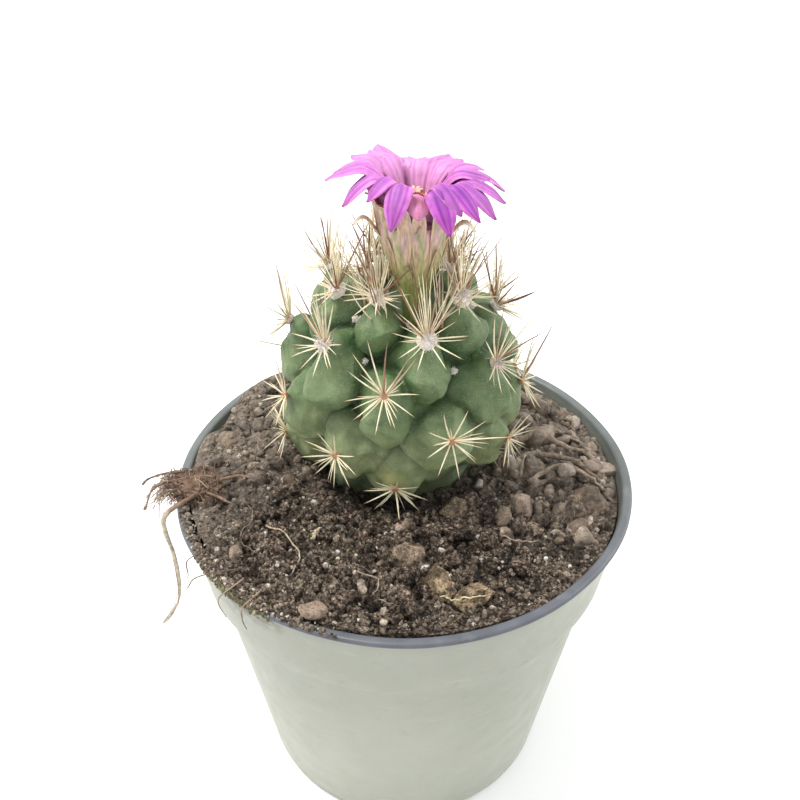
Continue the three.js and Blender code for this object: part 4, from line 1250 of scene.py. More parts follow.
def extra_tips(t, rng):
    """Finer spines between the main ones; the young areoles carry tall bundles."""
    upper = smoothstep(0.42, 0.72, t["age"])
    crown = smoothstep(0.66, 0.84, t["age"])
    _, seat = pad_of(t)
    tips = []
    for _ in range(int(lerp(12, 18, upper) + 10 * crown)):
        around = rng.uniform(-1, 1) * lerp(math.pi, 1.9, upper * rng.random())
        rising = upper * max(0.0, math.cos(around))
        lift = math.radians(lerp(14, 22, upper) + rng.uniform(0, 16) + 24 * rising)
        length = lerp(6.2, 8, upper) * rng.uniform(0.65, 1.15) * (1 + lerp(0.95, 1.35, crown) * rising)
        direction = unit(splayed(t, around, lift) + UP * (lerp(1.1, 2.6, crown) * rising))
        if direction[2] > 0.05:
            length = min(length, (SPINE_TOP - seat[2]) / direction[2])
        tips.append(seat + direction * length)
    tips = np.array(tips)
    samples = seat + (tips - seat)[:, None] * np.linspace(0.35, 1, 5)[:, None]
    gaps = body_gap(samples.reshape(-1, 3)).reshape(len(tips), 5)
    above = samples[:, :, 2] > soil_height(samples[:, :, 0], samples[:, :, 1]) + 0.6
    return tips[(gaps.min(axis=1) > 0.25) & above.all(axis=1)]


def central_tips(t, rng):
    """Long red-brown spines that cross in front of the young areoles."""
    _, seat = pad_of(t)
    tips = []
    for _ in range(round(4 * smoothstep(0.45, 0.7, t["age"]))):
        around = rng.uniform(-1.7, 1.7)
        lift = math.radians(rng.uniform(22, 58))
        direction = unit(splayed(t, around, lift) + 0.25 * UP)
        length = min(rng.uniform(11, 18.5), (SPINE_TOP - seat[2]) / max(direction[2], 0.05))
        tips.append(seat + direction * length)
    return tips


# Feet of the newest spine bundles, round the top of the axis: x and y
CROWN_TUFTS = [
    (-7, 3), (-8.5, 9), (-5, 14.5), (2, 16.5), (8, 14), (11, 8), (9.5, 1.5), (-4.5, -2.5), (7, -3.5),
]
CROWN_FOOT = 125.5
TUFT_SPINES = 13


def crown_spines(rng):
    """Erect spines of the growing point, as (foot, tip)."""
    spines = []
    for x, y in CROWN_TUFTS:
        away = unit([x - BODY_X, y - BODY_Y, 0])
        for _ in range(TUFT_SPINES):
            foot = np.array([x, y, CROWN_FOOT]) + rng.normal(size=3) * [0.8, 0.8, 0]
            direction = unit(UP + 0.3 * away + 0.21 * rng.normal(size=3))
            length = min(rng.uniform(12, 21), (SPINE_TOP - CROWN_FOOT) / direction[2])
            spines.append((foot, foot + direction * length))
    return spines


SPINE_TAPER = np.array([1.15, 1, 0.95, 0.86, 0.72, 0.48, 0.12])


def spine_path(seat, tip, rng, bend):
    """A slightly bent path from the pad to the tip."""
    along = np.linspace(0, 1, len(SPINE_TAPER))
    length = np.linalg.norm(tip - seat)
    sideways = unit(np.cross(tip - seat, rng.normal(size=3)))
    arc = np.sin(along * math.pi)[:, None] * sideways * (bend * length)
    return seat + (tip - seat) * along[:, None] + arc


def spines_piece():
    """All spines: those of the solid areoles, finer ones between them, and the long dark centrals."""
    rng = np.random.default_rng(12)
    paths, radii, dark = [], [], []

    def add(foot, tip, least_bend, most_bend, thick, vary):
        paths.append(spine_path(foot, tip, rng, rng.uniform(least_bend, most_bend)))
        radii.append(thick * rng.uniform(*vary) * SPINE_TAPER)

    for t in TUBERCLES:
        _, seat = pad_of(t)
        seat = seat - SPINE_FOOT * t["facing"]
        for tip in needle_tips(t):
            steep = unit(tip - seat) @ t["facing"]
            length = np.linalg.norm(tip - seat)
            may_be_central = 0.5 < steep < 0.95 and 9.5 < length < 15.4 and t["age"] > 0.3
            central = may_be_central and rng.random() < 0.3
            add(seat, tip, 0.005, 0.03, CENTRAL_SPINE if central else MAIN_SPINE, (0.85, 1.1))
            dark.append(rng.uniform(0.6, 1) if central else rng.uniform(0, 0.15))
        for tip in extra_tips(t, rng):
            add(seat, tip, 0.01, 0.05, FINE_SPINE, (0.7, 1.15))
            dark.append(rng.uniform(0, 0.12))
        for tip in central_tips(t, rng):
            add(seat, tip, 0.005, 0.03, LONG_SPINE, (0.85, 1.1))
            dark.append(rng.uniform(0.8, 1))
    for foot, tip in crown_spines(rng):
        add(foot, tip, 0.01, 0.04, CROWN_SPINE, (0.7, 1.15))
        dark.append(rng.uniform(0, 0.15) if rng.random() < 0.76 else 0.9)
    verts, faces, along, number = tubes(paths, radii, 5)
    data = {"along": along, "dark": np.array(dark)[number]}
    nodes = [areole_label(t["number"]) for t in TUBERCLES]
    return make_piece("spine_clusters", [(verts, faces, data)], spine_material(), nodes)


TUFT_TAPER = np.array([1, 0.95, 0.75, 0.3])


def tuft(rng, centre, facing, radius, length, count, thick, young):
    """Short curled hairs that stand out of a pad."""
    lean = unit(rng.normal(size=(count, 3)) + 0.9 * facing)
    foot = centre + radius * 0.55 * unit(rng.normal(size=(count, 3)) + 0.2 * facing)
    reach = length * rng.uniform(0.5, 1.2, (count, 1))
    curl = unit(rng.normal(size=(count, 3)))
    steps = np.linspace(0, 1, len(TUFT_TAPER))[None, :, None]
    paths = foot[:, None] + lean[:, None] * reach[:, None] * steps
    paths = paths + curl[:, None] * np.sin(steps * 3.5) * (0.28 * reach[:, None])
    verts, faces, _, _ = tubes(paths, np.full((count, 1), thick) * TUFT_TAPER, 3)
    return verts, faces, {"young": young}


# Tubercles with the fullest wool
WOOLLY = (22, 24, 25, 27)
# White wool in the creases between young tubercles: x, y, z and radius
AXIL_WOOL = [
    (-10.4, 2.6, 123.3, 1.4), (0.2, -1.5, 124.4, 1.2), (10.2, -5.3, 115.6, 1.0), (-8.1, -6.2, 118.7, 0.5),
    (14, 8, 124, 1.3), (-3, 16, 128, 1.6), (8, 18, 126, 1.5), (-14, 14, 122, 1.2),
]
AXIL_HAIRS = 70


def wool_piece():
    """A felt dome with hairs on each tubercle, fuller on the young ones, and white wool between them."""
    rng = np.random.default_rng(5)
    ball, ball_faces = unit_ball(3)
    parts = []
    for t in TUBERCLES:
        young = float(smoothstep(0.42, 0.62, t["age"]))
        woolly = t["number"] in WOOLLY
        radius = lerp(1.0, 1.6, young) * (1.35 if woolly else 1)
        _, seat = pad_of(t)
        centre = seat - 0.55 * t["facing"]
        basis = np.stack([t["sideways"], t["upward"], t["facing"]])
        rough = 1 + 0.14 * clouds(ball, 0.35, 3, t["number"])[:, None]
        dome = ball * np.array([radius, radius, 0.62 * radius]) * rough
        parts.append((dome @ basis + centre, ball_faces, {"young": young}))
        count = int(lerp(26, 150, young) * (1.25 if woolly else 1))
        length, thick = lerp(0.6, 1.9, young), lerp(0.07, 0.085, young)
        parts.append(tuft(rng, centre, t["facing"], radius, length, count, thick, young))
    for x, y, z, radius in AXIL_WOOL:
        centre = np.array([x, y, z])
        rough = 1 + 0.3 * clouds(ball, 0.4, 3, z)[:, None]
        felt = ball * (radius * np.array([1, 0.6, 0.8])) * rough + centre
        parts.append((felt, ball_faces, {"young": 1.0}))
        parts.append(tuft(rng, centre, unit([0.2 * x, -1, 0.8]), radius, 0.8, AXIL_HAIRS, 0.07, 1.0))
    return make_piece("areole_wool", parts, wool_material())


# Flower

TUBE_OUTLINE = [
    [0, TUBE_BOTTOM - 2], [2.1, TUBE_BOTTOM - 2], [2.1, TUBE_BOTTOM], [2.7, TUBE_BOTTOM + 5],
    [4.3, TUBE_BOTTOM + 10], [6, TUBE_BOTTOM + 15.5], [7.3, TUBE_TOP], [7.2, TUBE_TOP + 1.6],
    [0, TUBE_TOP + 1.2],
]


def resample(stations, count):
    """A smooth row of stations through the given ones."""
    stations = np.asarray(stations, float)
    padded = np.vstack([2 * stations[0] - stations[1], stations, 2 * stations[-1] - stations[-2]])
    rows = []
    for t in np.linspace(0, len(stations) - 1, count):
        k = min(int(t), len(stations) - 2)
        f = t - k
        a, b, c, d = padded[k:k + 4]
        bend = (2 * a - 5 * b + 4 * c - d) * f * f + (3 * b - a - 3 * c + d) * f ** 3
        rows.append(0.5 * (2 * b + (c - a) * f + bend))
    return np.array(rows)


def leaf_faces(along, across):
    """Faces of a blade with so many points along and across: upper side, lower side and the edge."""
    faces = []
    shift = along * across
    for k in range(along - 1):
        for i in range(across - 1):
            a, b = k * across + i, (k + 1) * across + i
            faces.append([a, a + 1, b + 1, b])
            faces.append([shift + a, shift + b, shift + b + 1, shift + a + 1])
    rim = list(range(across))
    rim += [k * across + across - 1 for k in range(1, along)]
    rim += [(along - 1) * across + i for i in range(across - 2, -1, -1)]
    rim += [k * across for k in range(along - 2, 0, -1)]
    for a, b in zip(rim, rim[1:] + rim[:1]):
        faces.append([b, a, shift + a, shift + b])
    return faces


def leaf(stations, azimuth, thickness, channel, rng, twist=0.0, ripple=0.12, across=10, along=26):
    """A thin closed blade through stations of [outward, height, width], with a groove along it."""
    rows = resample(stations, along)
    outward = away_at(azimuth)
    sideways = np.array([math.cos(azimuth), math.sin(azimuth), 0])
    centre = np.array([FLOWER_X, FLOWER_Y, 0]) + rows[:, :1] * outward + rows[:, 1:2] * UP
    forward = unit(np.gradient(centre, axis=0))
    far = np.linspace(0, 1, along)
    spin = twist * far[:, None]
    lift = unit(np.cross(sideways, forward))
    wide = sideways * np.cos(spin) + lift * np.sin(spin)
    lift = unit(np.cross(wide, forward))
    half = np.maximum(rows[:, 2], 0.25) / 2
    half = half * np.where(far > 0.8, np.sqrt(np.maximum(1 - ((far - 0.8) / 0.2) ** 2, 0.01)) ** 0.8, 1)
    u = np.linspace(-1, 1, across)
    phase = rng.uniform(0, 6.28, 3)
    cup = channel * half[:, None] * (u ** 2) - 0.22 * np.exp(-(u / 0.16) ** 2)
    wave = ripple * np.abs(u) ** 1.5 * np.sin(far[:, None] * 9 + phase[0] + 2.2 * u)
    wave = wave + 0.06 * np.sin(u * 11 + phase[1]) + 0.05 * np.sin(far[:, None] * 17 + phase[2])
    height = cup + wave
    middle = centre[:, None] + wide[:, None] * (half[:, None] * u)[..., None]
    middle = middle + lift[:, None] * height[..., None]
    thin = thickness / 2 * np.sqrt(np.maximum(1 - u ** 2, 0.04)) * (1 - 0.5 * far[:, None])
    top = middle + lift[:, None] * thin[..., None]
    bottom = middle - lift[:, None] * thin[..., None]
    verts = np.vstack([top.reshape(-1, 3), bottom.reshape(-1, 3)])
    band = np.exp(-(np.abs(u) / 0.62) ** 3)[None] * smoothstep(0.28, 0.6, far)[:, None]
    data = {
        "along": np.tile(np.repeat(far, across), 2),
        "band": np.tile(band.reshape(-1), 2),
        "vein": np.tile(0.5 + 0.5 * np.cos(u * 17 + phase[0]), 2 * along),
        "edge": np.tile(smoothstep(0.62, 1.0, np.abs(u)), 2 * along),
        "under": np.repeat([1.0, 0.0], along * across),
    }
    return verts, leaf_faces(along, across), data


# Petals of each row: degrees from the front, reach, height of the arch, height of the tip
OUTER_PETALS = [
    (-85, 17.2, 159.2, 156.8), (-68, 14.8, 158.6, 153.3), (-18, 14.5, 158.8, 152.2),
    (3, 12.4, 156.4, 153.8), (25, 15.3, 157.8, 151.3), (49, 16, 157.8, 152.4), (66, 16.8, 157.4, 151.3),
    (82, 17.6, 157.2, 152.6), (101, 18, 157.4, 152.4), (123, 16.6, 157.2, 154.4), (153, 16, 156.7, 155.4),
    (-176, 15, 156.2, 154.6), (-152, 16, 157.4, 157.8), (-128, 16, 158.4, 157), (-107, 16.4, 158.8, 155.6),
]
INNER_PETALS = [
    (-92, 15.6, 159, 157.2), (-46, 12.4, 159, 155.7), (38, 14, 158.2, 154),
    (92, 14.4, 157.8, 156.2), (138, 14.4, 157, 156), (170, 13.6, 156.4, 155.2), (-140, 14.2, 158, 157.8),
]


def petal_stations(row, reach, crown, tip):
    foot = TUBE_TOP + GAP + 0.9
    return [
        [lerp(5.2, 3.6, row), foot, 2.6],
        [lerp(6.9, 5.2, row), lerp(foot, crown, 0.66), 3.6],
        [0.58 * reach, crown, PETAL_WIDTH],
        [0.84 * reach, lerp(crown, tip, 0.42), 0.92 * PETAL_WIDTH],
        [reach, tip, 1.4],
    ]


def petals_piece():
    """Two rows of petals on a shallow cup."""
    rng = np.random.default_rng(3)
    bottom = TUBE_TOP + GAP
    cup, cup_faces = lathe([
        [0, bottom], [0.86 * CUP_RADIUS, bottom], [0.86 * CUP_RADIUS, CUP_FLOOR],
        [0.76 * CUP_RADIUS, bottom + CUP_HEIGHT], [0.62 * CUP_RADIUS, CUP_FLOOR], [0, CUP_FLOOR],
    ], 48, FLOWER_X, FLOWER_Y)
    plain = {"along": 0.12, "vein": 0.1, "deep": 0.2, "band": 0, "edge": 0, "under": 0.8, "tan": 0.7}
    parts = [(cup, cup_faces, plain)]
    for row, petals in enumerate((OUTER_PETALS, INNER_PETALS)):
        for azimuth, reach, crown, tip in petals:
            turn = math.radians(azimuth)
            twist = rng.uniform(-0.35, 0.35)
            verts, faces, data = leaf(petal_stations(row, reach, crown, tip), turn, 0.4, 0.2, rng, twist)
            # Painted shade: petals towards the front, and those at the left that face the key light, get a
            # higher deep value and are painted darker.
            front = 0.5 + 0.5 * math.cos(turn - 0.6)
            left = math.exp(-((azimuth + 78) / 34) ** 2)
            data["deep"] = np.clip(0.2 + 0.8 * front ** 1.5 + 0.4 * left + rng.uniform(-0.15, 0.15), 0, 1)
            data["tan"] = 0.85 if crown < 156.5 and abs(azimuth) < 20 else 0.0
            parts.append((verts, faces, data))
    return make_piece("flower_petals", parts, petal_material(), ["petals"])


# Sepals: degrees from the front, and stations of [outward, height, width]
SEPALS = [
    (-75, [[5.5, 143, 2.6], [8.2, 147.6, 2.4], [10.4, 150, 1.8], [12.3, 148.4, 0.9]]),
    (72, [[5.5, 143, 2.6], [8.3, 147.4, 2.6], [10.5, 149.3, 2], [12.4, 147.2, 0.9]]),
    (160, [[5.5, 143, 2.6], [8.3, 147.2, 2.4], [10.3, 149.6, 2], [12.4, 148.6, 0.9]]),
    (-150, [[5.5, 143, 2.6], [8.3, 147.2, 2.4], [10.1, 149.3, 2], [12, 147.9, 0.9]]),
]
HIGH_SCALES = 15
LOW_SCALES = 16
SCALE_TURN = 137.5
# A low scale from foot to tip: share of its length, width, and how far it stands off the tube
SCALE_SHAPE = ((0, 0.5, 0.0), (0.3, 1.3, 0.1), (0.6, 1.5, 0.18), (0.85, 1.0, 0.32), (1, 0.3, 0.7))


def tube_radius(height):
    radii, heights = np.array(TUBE_OUTLINE[1:-1]).T
    return np.interp(height, heights, radii)


def tube_share(height):
    """How far up the tube a height is, from 0 to 1."""
    return (height - TUBE_BOTTOM) / (TUBE_TOP - TUBE_BOTTOM)


def funnel_part():
    """The ribbed funnel itself."""
    profile = [TUBE_OUTLINE[0]] + resample(TUBE_OUTLINE[1:-1], 44).tolist() + [TUBE_OUTLINE[-1]]
    verts, faces = lathe(profile, 72, FLOWER_X, FLOWER_Y)
    angle = np.arctan2(verts[:, 1] - FLOWER_Y, verts[:, 0] - FLOWER_X)
    along = tube_share(verts[:, 2])
    rib = np.cos(9 * angle + 0.8 * np.sin(verts[:, 2] * 0.3))
    push = 1 + 0.035 * rib * smoothstep(0.05, 0.4, along)
    verts[:, 0] = FLOWER_X + (verts[:, 0] - FLOWER_X) * push
    verts[:, 1] = FLOWER_Y + (verts[:, 1] - FLOWER_Y) * push
    strip = smoothstep(0.55, 0.95, rib) * smoothstep(0.2, 0.4, along) * 0.8
    return verts, faces, {"along": np.clip(along, 0, 1), "strip": strip, "pale": 0}


def sepal_parts(rng):
    """Pale pointed sepals that stand off the tube."""
    parts = []
    for azimuth, stations in SEPALS:
        verts, faces, _ = leaf(stations, math.radians(azimuth), 0.4, 0.15, rng, 0.0, 0.05, 7, 18)
        parts.append((verts, faces, {"along": 0.7, "strip": 0.2, "pale": 0.85}))
    return parts


def high_scales(rng):
    """Narrow scales round the top of the tube, just under the petals."""
    parts = []
    for i in range(HIGH_SCALES):
        azimuth = math.radians(i * 24 + 9 + rng.uniform(-5, 5))
        rise = rng.uniform(-0.8, 0.8)
        stations = [
            [5.6, 140.5, 1.2], [6.6, 145, 2.2], [7.3, 149, 2.9], [8.0, 152.2 + rise, 2.7],
            [9.2, 154.6 + rise, 1.8], [10.6, 155.6 + rise, 0.8],
        ]
        twist = rng.uniform(-0.2, 0.2)
        verts, faces, data = leaf(stations, azimuth, 0.35, 0.25, rng, twist, 0.08, 8, 22)
        green = 0.8 * data["band"] if rng.random() < 0.4 else 0.1 * data["band"]
        tone = {"along": 0.7 + 0.3 * data["along"], "strip": green, "pale": 0.25 * data["edge"]}
        parts.append((verts, faces, tone))
    return parts


def low_scales(rng):
    """Small scales that lie along the tube in a spiral."""
    parts = []
    for i in range(LOW_SCALES):
        far = i / (LOW_SCALES - 1)
        low = lerp(128.5, 142, far)
        stations = []
        for share, width, off in SCALE_SHAPE:
            z = low + lerp(7, 10.5, far) * share
            stations.append([float(tube_radius(z)) + off - 0.1, z, width])
        azimuth = math.radians(i * SCALE_TURN + 20)
        verts, faces, data = leaf(stations, azimuth, 0.35, 0.1, rng, 0.0, 0.03, 6, 14)
        along = np.clip(tube_share(low) + 0.35 * data["along"], 0, 1)
        tone = {"along": along, "strip": 0.5 * data["band"], "pale": 0.15 * data["edge"]}
        parts.append((verts, faces, tone))
    return parts


def tube_piece():
    rng = np.random.default_rng(8)
    parts = [funnel_part(), *sepal_parts(rng), *high_scales(rng), *low_scales(rng)]
    return make_piece("flower_funnel", parts, tube_material(), ["flower_tube"])


STAMENS = 90
STIGMA_LOBES = 7


def stamens_piece():
    """A ring of threads with a small head each."""
    rng = np.random.default_rng(16)
    bottom = CUP_FLOOR + GAP
    angle = rng.uniform(0, 2 * math.pi, STAMENS)
    ring = np.stack([np.cos(angle), np.sin(angle), np.zeros(STAMENS)], axis=1)
    foot = np.array([FLOWER_X, FLOWER_Y, bottom]) + ring * rng.uniform(1.6, 3.0, (STAMENS, 1))
    head = foot + ring * rng.uniform(0.0, 0.9, (STAMENS, 1)) + UP * rng.uniform(2.2, 4.1, (STAMENS, 1))
    steps = np.linspace(0, 1, 6)[None, :, None]
    paths = foot[:, None] + (head - foot)[:, None] * steps
    paths = paths + ring[:, None] * np.sin(steps * 3.1) * 0.3
    radii = np.full((STAMENS, 6), 0.11) * [1, 1, 1, 1, 1, 1.5]
    verts, faces, along, _ = tubes(paths, radii, 5)
    parts = [(verts, faces, {"along": 0.7 * along})]
    ball, ball_faces = unit_ball(1)
    for place in head:
        parts.append((ball * [0.27, 0.27, 0.4] + place, ball_faces, {"along": 1.0}))
    low, high = bottom - 0.2, bottom + 0.5
    base, base_faces = lathe([[0, low], [3.1, low], [3.2, high], [0, high]], 32, FLOWER_X, FLOWER_Y)
    parts.append((base, base_faces, {"along": 0.0}))
    material = thread_material("stamen_thread", (0.72, 0.24, 0.30), (0.74, 0.36, 0.24))
    return make_piece("flower_stamens", parts, material, ["stamens"])


def stigma_piece():
    """A column with a small star of lobes."""
    foot = np.array([FLOWER_X, FLOWER_Y, CUP_FLOOR + GAP])
    head = foot + UP * STIGMA_HEIGHT
    steps = np.linspace(0, 1, 8)[:, None]
    verts, faces, along, _ = tubes([foot + (head - foot) * steps], [np.linspace(0.55, 0.45, 8)], 12)
    parts = [(verts, faces, {"along": 0.5 * along})]
    paths = []
    for i in range(STIGMA_LOBES):
        angle = i / STIGMA_LOBES * 2 * math.pi
        out = np.array([math.cos(angle), math.sin(angle), 0])
        path = []
        for f in np.linspace(0, 1, 7):
            path.append(head + out * (0.3 + 1.4 * f) + UP * (0.9 * math.sin(2.2 * f) - 0.3))
        paths.append(path)
    radii = np.tile([0.3, 0.34, 0.36, 0.34, 0.3, 0.22, 0.1], (STIGMA_LOBES, 1))
    verts, faces, along, _ = tubes(paths, radii, 8)
    parts.append((verts, faces, {"along": 0.8 + 0.2 * along}))
    material = thread_material("stigma_flesh", (0.60, 0.34, 0.34), (0.62, 0.42, 0.28))
    return make_piece("flower_stigma", parts, material, ["stigma"])


# Dry roots

ROOT_PAD = (-47.6, -8, 86.05)
ROOT_PAD_HALF = (7.2, 5.4, 1.6)
ROOT_MAT_EDGE = -59.8
# The long root and the thick ones of the mat: half thickness, tone at the end, points
ROOT_THREADS = [
    (0.75, 0.95, [[-46.5, -12, 86.6], [-49.6, -15.6, 86.8], [-52.2, -17.6, 85.6], [-52.8, -18, 82],
                  [-51.9, -18, 73], [-52.2, -18, 63.7], [-53.6, -18, 57.5], [-57.4, -18, 51]]),
    (0.6, 0.5, [[-50, -7, 86.6], [-55, -8.6, 86.8], [-57.6, -10.4, 85.2], [-58.8, -11.6, 81.6]]),
    (0.5, 0.4, [[-50, -4, 86.6], [-54.6, -5.2, 87], [-57.6, -6.2, 86.6], [-59.6, -7.4, 85.4]]),
    (0.5, 0.4, [[-44, -11, 86.6], [-40.6, -14, 87.2], [-37.6, -15.4, 87]]),
    (0.5, 0.4, [[-42, -7, 86.8], [-37.6, -6.2, 87.2], [-33.6, -6.6, 86.8]]),
]
# Hair-thin roots that hang over the lip at the front left: tone and points
ROOTLETS = [
    (0.2, [[-41, -27, 85.4], [-43.5, -29.6, 85.6], [-45.4, -31, 84.2], [-45.6, -32.2, 81]]),
    (0.15, [[-34, -34, 85.6], [-40, -35, 85.4], [-43.6, -34.6, 83.4], [-45.4, -34.8, 80.8]]),
    (0.6, [[-33, -36, 85.2], [-36, -39.5, 85], [-37.4, -40.2, 82.6], [-36.6, -40.8, 79]]),
    (0.5, [[-29, -39, 85.2], [-31.6, -43.2, 84.9], [-32.6, -44, 82.2], [-31.4, -44.2, 79.4]]),
]
STRAND = 14
STEPS = np.linspace(0, 1, STRAND)[:, None]
ROOT_SIDES = 4
THREAD_TAPER = np.linspace(1, 0.55, STRAND)
MAT_FIBRES = 520
WISPS = 110


def strand(points, spread, rng):
    """A wavy line through points."""
    line = resample(points, STRAND)
    phase = rng.uniform(0, 6.28)
    turn = np.linspace(0, rng.uniform(5, 11), STRAND) + phase
    offset = np.stack([np.cos(turn), 0.6 * np.sin(turn), 0.4 * np.sin(1.3 * turn + 1)], axis=1)
    return line + spread * offset


def side_hairs(line, rng, count):
    """Short hairs that stand off a root."""
    hairs = []
    for _ in range(count):
        foot = line[rng.integers(2, STRAND - 1)]
        heading = unit(rng.normal(size=3) - 0.5 * UP)
        curl = unit(rng.normal(size=3))
        hairs.append(foot + heading * STEPS * rng.uniform(0.8, 2.4) + curl * np.sin(3 * STEPS) * 0.3)
    return hairs


def mat_fibre(rng):
    """A curled fibre of the mat, lying almost flat."""
    spot = unit(rng.normal(size=3)) * rng.uniform(0.05, 1.0) ** 0.5 * [1.05, 1.1, 0.95]
    start = np.array(ROOT_PAD) + spot * ROOT_PAD_HALF
    heading = unit(np.array([rng.normal(), 0.9 * rng.normal(), 0.14 * rng.normal()]))
    curl = unit(rng.normal(size=3) * [1, 1, 0.35])
    path = start + heading * rng.uniform(1.5, 5.5) * (STEPS - 0.5)
    path = path + curl * np.sin(STEPS * rng.uniform(2, 9) + rng.uniform(0, 6)) * rng.uniform(0.3, 1.1)
    path[:, 2] = np.maximum(path[:, 2], POT_HEIGHT + 0.3)
    return path


def wisp(rng):
    """A fibre that sags over the outer side of the mat."""
    start = np.array([rng.uniform(-54.5, -50), rng.uniform(-12.5, -3), 86 + rng.uniform(-0.8, 0.8)])
    reach = rng.uniform(1.5, 4.5)
    drop = rng.uniform(0.5, 4.5)
    path = start + STEPS * [-reach, rng.uniform(-2.5, 1), 0] - STEPS ** 2 * [0, 0, drop]
    path = path + unit(rng.normal(size=3)) * np.sin(STEPS * rng.uniform(3, 8)) * 0.45
    path[:, 0] = np.maximum(path[:, 0], ROOT_MAT_EDGE)
    return path


def roots_piece():
    """The matted pad, the roots that leave it and the hair-thin ones beside it."""
    rng = np.random.default_rng(29)
    paths, radii, tint = [], [], []

    def add(path, radius, taper, tone):
        paths.append(path)
        radii.append(radius * taper)
        tint.append(np.broadcast_to(tone, STRAND))

    for thick, end_tone, points in ROOT_THREADS:
        tone = lerp(0.35, end_tone, smoothstep(0.1, 0.35, np.linspace(0, 1, STRAND)))
        line = strand(points, 0.3, rng)
        knobs = (1 + 0.26 * rng.normal(size=STRAND)).clip(0.6, 1.6)
        add(line, 0.95 * thick, THREAD_TAPER * knobs, tone)
        for _ in range(3):
            add(strand(points, 0.6 * thick, rng), 0.2 * thick, THREAD_TAPER, 0.8 * tone)
        for hair in side_hairs(line, rng, 14):
            add(hair, 0.07, THREAD_TAPER, 0.8 * end_tone)
    for tone, points in ROOTLETS:
        add(strand(points, 0.3, rng), 0.22, THREAD_TAPER, tone)
    for _ in range(MAT_FIBRES):
        fibre, thick = mat_fibre(rng), rng.uniform(0.06, 0.17)
        add(fibre, thick, THREAD_TAPER, rng.uniform(0.1, 0.85) * rng.random() ** 0.6)
    for _ in range(WISPS):
        add(wisp(rng), rng.uniform(0.06, 0.15), THREAD_TAPER, rng.uniform(0.3, 0.9))
    verts, faces, _, _ = tubes(paths, radii, ROOT_SIDES)
    parts = [(verts, faces, {"tint": np.repeat(np.array(tint).ravel(), ROOT_SIDES)})]
    ball, ball_faces = unit_ball(5)
    rough = 1 + 0.26 * clouds(ball, 0.3, 5, 2)[:, None]
    core = ball * np.array(ROOT_PAD_HALF) * 0.8 * rough + ROOT_PAD
    parts.append((core, ball_faces, {"tint": 0.2 + 0.25 * clouds(ball, 0.3, 3, 7)}))
    return make_piece("root_mat", parts, root_material(), ["dry_roots"])


# Twigs and loose fibres on the soil: half thickness, tone, and points of [x, y, height over the soil]
TWIGS = [
    (0.85, 0.55, [[23, 11, 0.6], [30.7, 13.1, 1.7], [37.8, 10.8, 1.9], [43.4, 7.4, 1.6], [47, 3.3, 0.8]]),
    (0.75, 0.5, [[24.6, 3.5, 0.8], [31.2, 6.2, 1.9], [38.2, 4.3, 2.2], [43.8, -0.8, 1.8], [46.6, -4, 0.8]]),
    (0.65, 0.6, [[28.7, -2.3, 1.0], [35.4, 1.4, 2.3], [42.1, -1.5, 2.4], [45.9, -5.3, 1.2]]),
    (0.4, 0.6, [[27, 15.6, 0.8], [35, 16.4, 1.7], [41.5, 13.6, 1.7], [46, 10.6, 0.9]]),
    (0.5, 0.75, [[-17.8, -21.5, 0.6], [-18.6, -23, 1.1], [-19.8, -24.9, 0.7]]),
    (0.2, 0.95, [[7.6, -40.6, 1.0], [10.2, -41.9, 2.4], [13.3, -41.6, 2.6], [16.4, -40.6, 1.8]]),
    (0.2, 0.7, [[-30, -20, 0.6], [-25, -24, 1.2], [-22, -29, 0.5], [-23, -34, 0.3]]),
    (0.18, 0.6, [[20, -22, 0.6], [25, -24, 1.7], [30, -22, 0.5]]),
    (0.22, 0.6, [[-10, 40, 0.6], [-2, 43.5, 1.4], [6, 42, 0.6]]),
    (0.16, 0.35, [[-36, -12, 0.8], [-33, -18, 1.3], [-35, -24, 0.9], [-31, -29, 0.5]]),
    (0.16, 0.5, [[-10, -34, 0.6], [-5, -37, 1.4], [-6, -41, 1.0], [-1, -43, 0.4]]),
]


def twigs_piece():
    rng = np.random.default_rng(61)
    paths, radii, tint = [], [], []
    for thick, tone, points in TWIGS:
        line = resample(points, 16)
        line[:, 2] += soil_height(line[:, 0], line[:, 1])
        line = line + 0.16 * rng.normal(size=line.shape)
        paths.append(line)
        radii.append(thick * (np.linspace(1, 0.65, 16) + 0.12 * rng.normal(size=16)))
        tint.append(tone)
    verts, faces, _, number = tubes(paths, radii, 8)
    twigs = (verts, faces, {"tint": np.array(tint)[number]})
    return make_piece("soil_twigs", [twigs], twig_material())


# Stage, light and camera

FLOOR_REACH = 3000
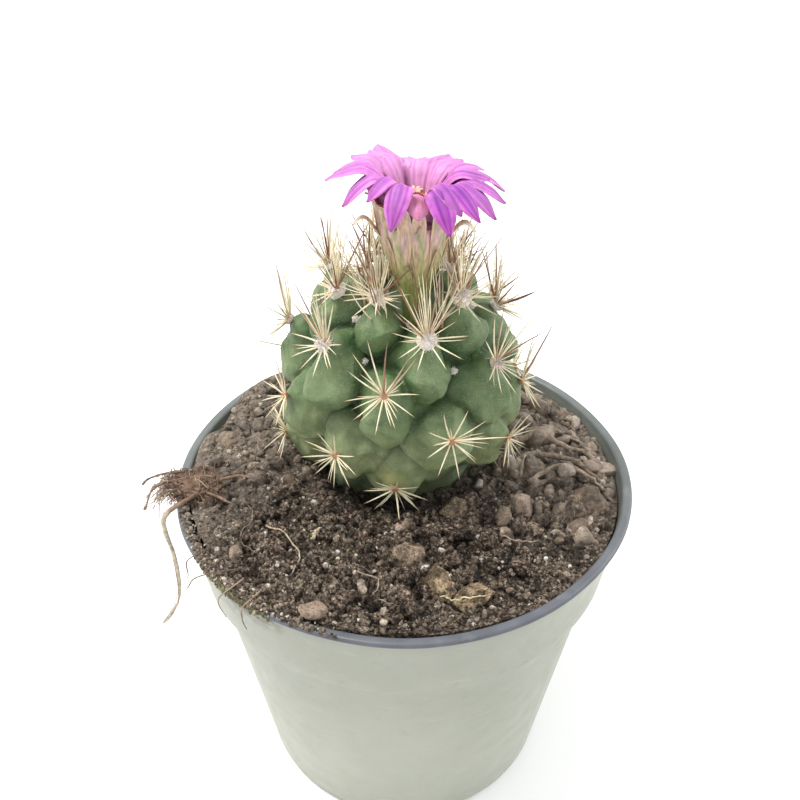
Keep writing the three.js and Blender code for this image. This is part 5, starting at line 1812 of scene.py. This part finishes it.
# Lights in metres and watts: name, place, size, power and colour
LIGHTS = [
    ("key", (-0.32, 0.02, 0.8), 0.25, 7.0, (1, 0.98, 0.95)),
    ("fill", (0.6, 0.1, 0.45), 0.4, 2.4, (0.95, 0.98, 1)),
]
LIT_POINT = (0, 0, 0.1)


def make_floor():
    r = FLOOR_REACH
    mesh = new_mesh("studio_floor", [(-r, -r, 0), (r, -r, 0), (r, r, 0), (-r, r, 0)], [[0, 1, 2, 3]])
    mesh.materials.append(floor_material())
    floor = put("studio_floor", mesh)


def make_lights():
    world = bpy.data.worlds.new("studio")
    world.use_nodes = True
    sky = world.node_tree.nodes["Background"].inputs
    sky["Color"].default_value = (1, 1, 1, 1)
    sky["Strength"].default_value = 0.95
    bpy.context.scene.world = world
    for name, where, size, power, colour in LIGHTS:
        lamp = bpy.data.lights.new(name, "AREA")
        lamp.shape = "DISK"
        lamp.size = size
        lamp.energy = power
        lamp.color = colour
        holder = put(name, lamp)
        holder.location = where
        direction = Vector(LIT_POINT) - Vector(where)
        holder.rotation_euler = direction.to_track_quat("-Z", "Y").to_euler()


# The camera looks from this far and high at the middle of the rim, pitched a little less
VIEW_DISTANCE = 4.47 * RIM_RADIUS
VIEW_ELEVATION = math.radians(40.13)
VIEW_PITCH = math.radians(36.15)
VIEW_YAW = math.radians(-0.33)


def make_camera():
    lens = bpy.data.cameras.new("camera")
    lens.sensor_width = 36
    lens.lens = 45
    lens.clip_start = 0.01
    camera = put("camera", lens)
    reach = VIEW_DISTANCE * math.cos(VIEW_ELEVATION)
    height = POT_HEIGHT + VIEW_DISTANCE * math.sin(VIEW_ELEVATION)
    camera.location = (0, -reach * MM, height * MM)
    camera.rotation_euler = (math.pi / 2 - VIEW_PITCH, 0, -VIEW_YAW)
    bpy.context.scene.camera = camera


make_camera()
make_lights()
make_floor()
pot_piece()
soil_piece()
grit_piece()
moss_piece()
clods_piece()
pebbles_piece()
perlite_piece()
stone_pieces()
body_piece()
spines_piece()
wool_piece()
tube_piece()
petals_piece()
stamens_piece()
stigma_piece()
roots_piece()
twigs_piece()
bpy.context.scene.view_settings.view_transform = "Standard"
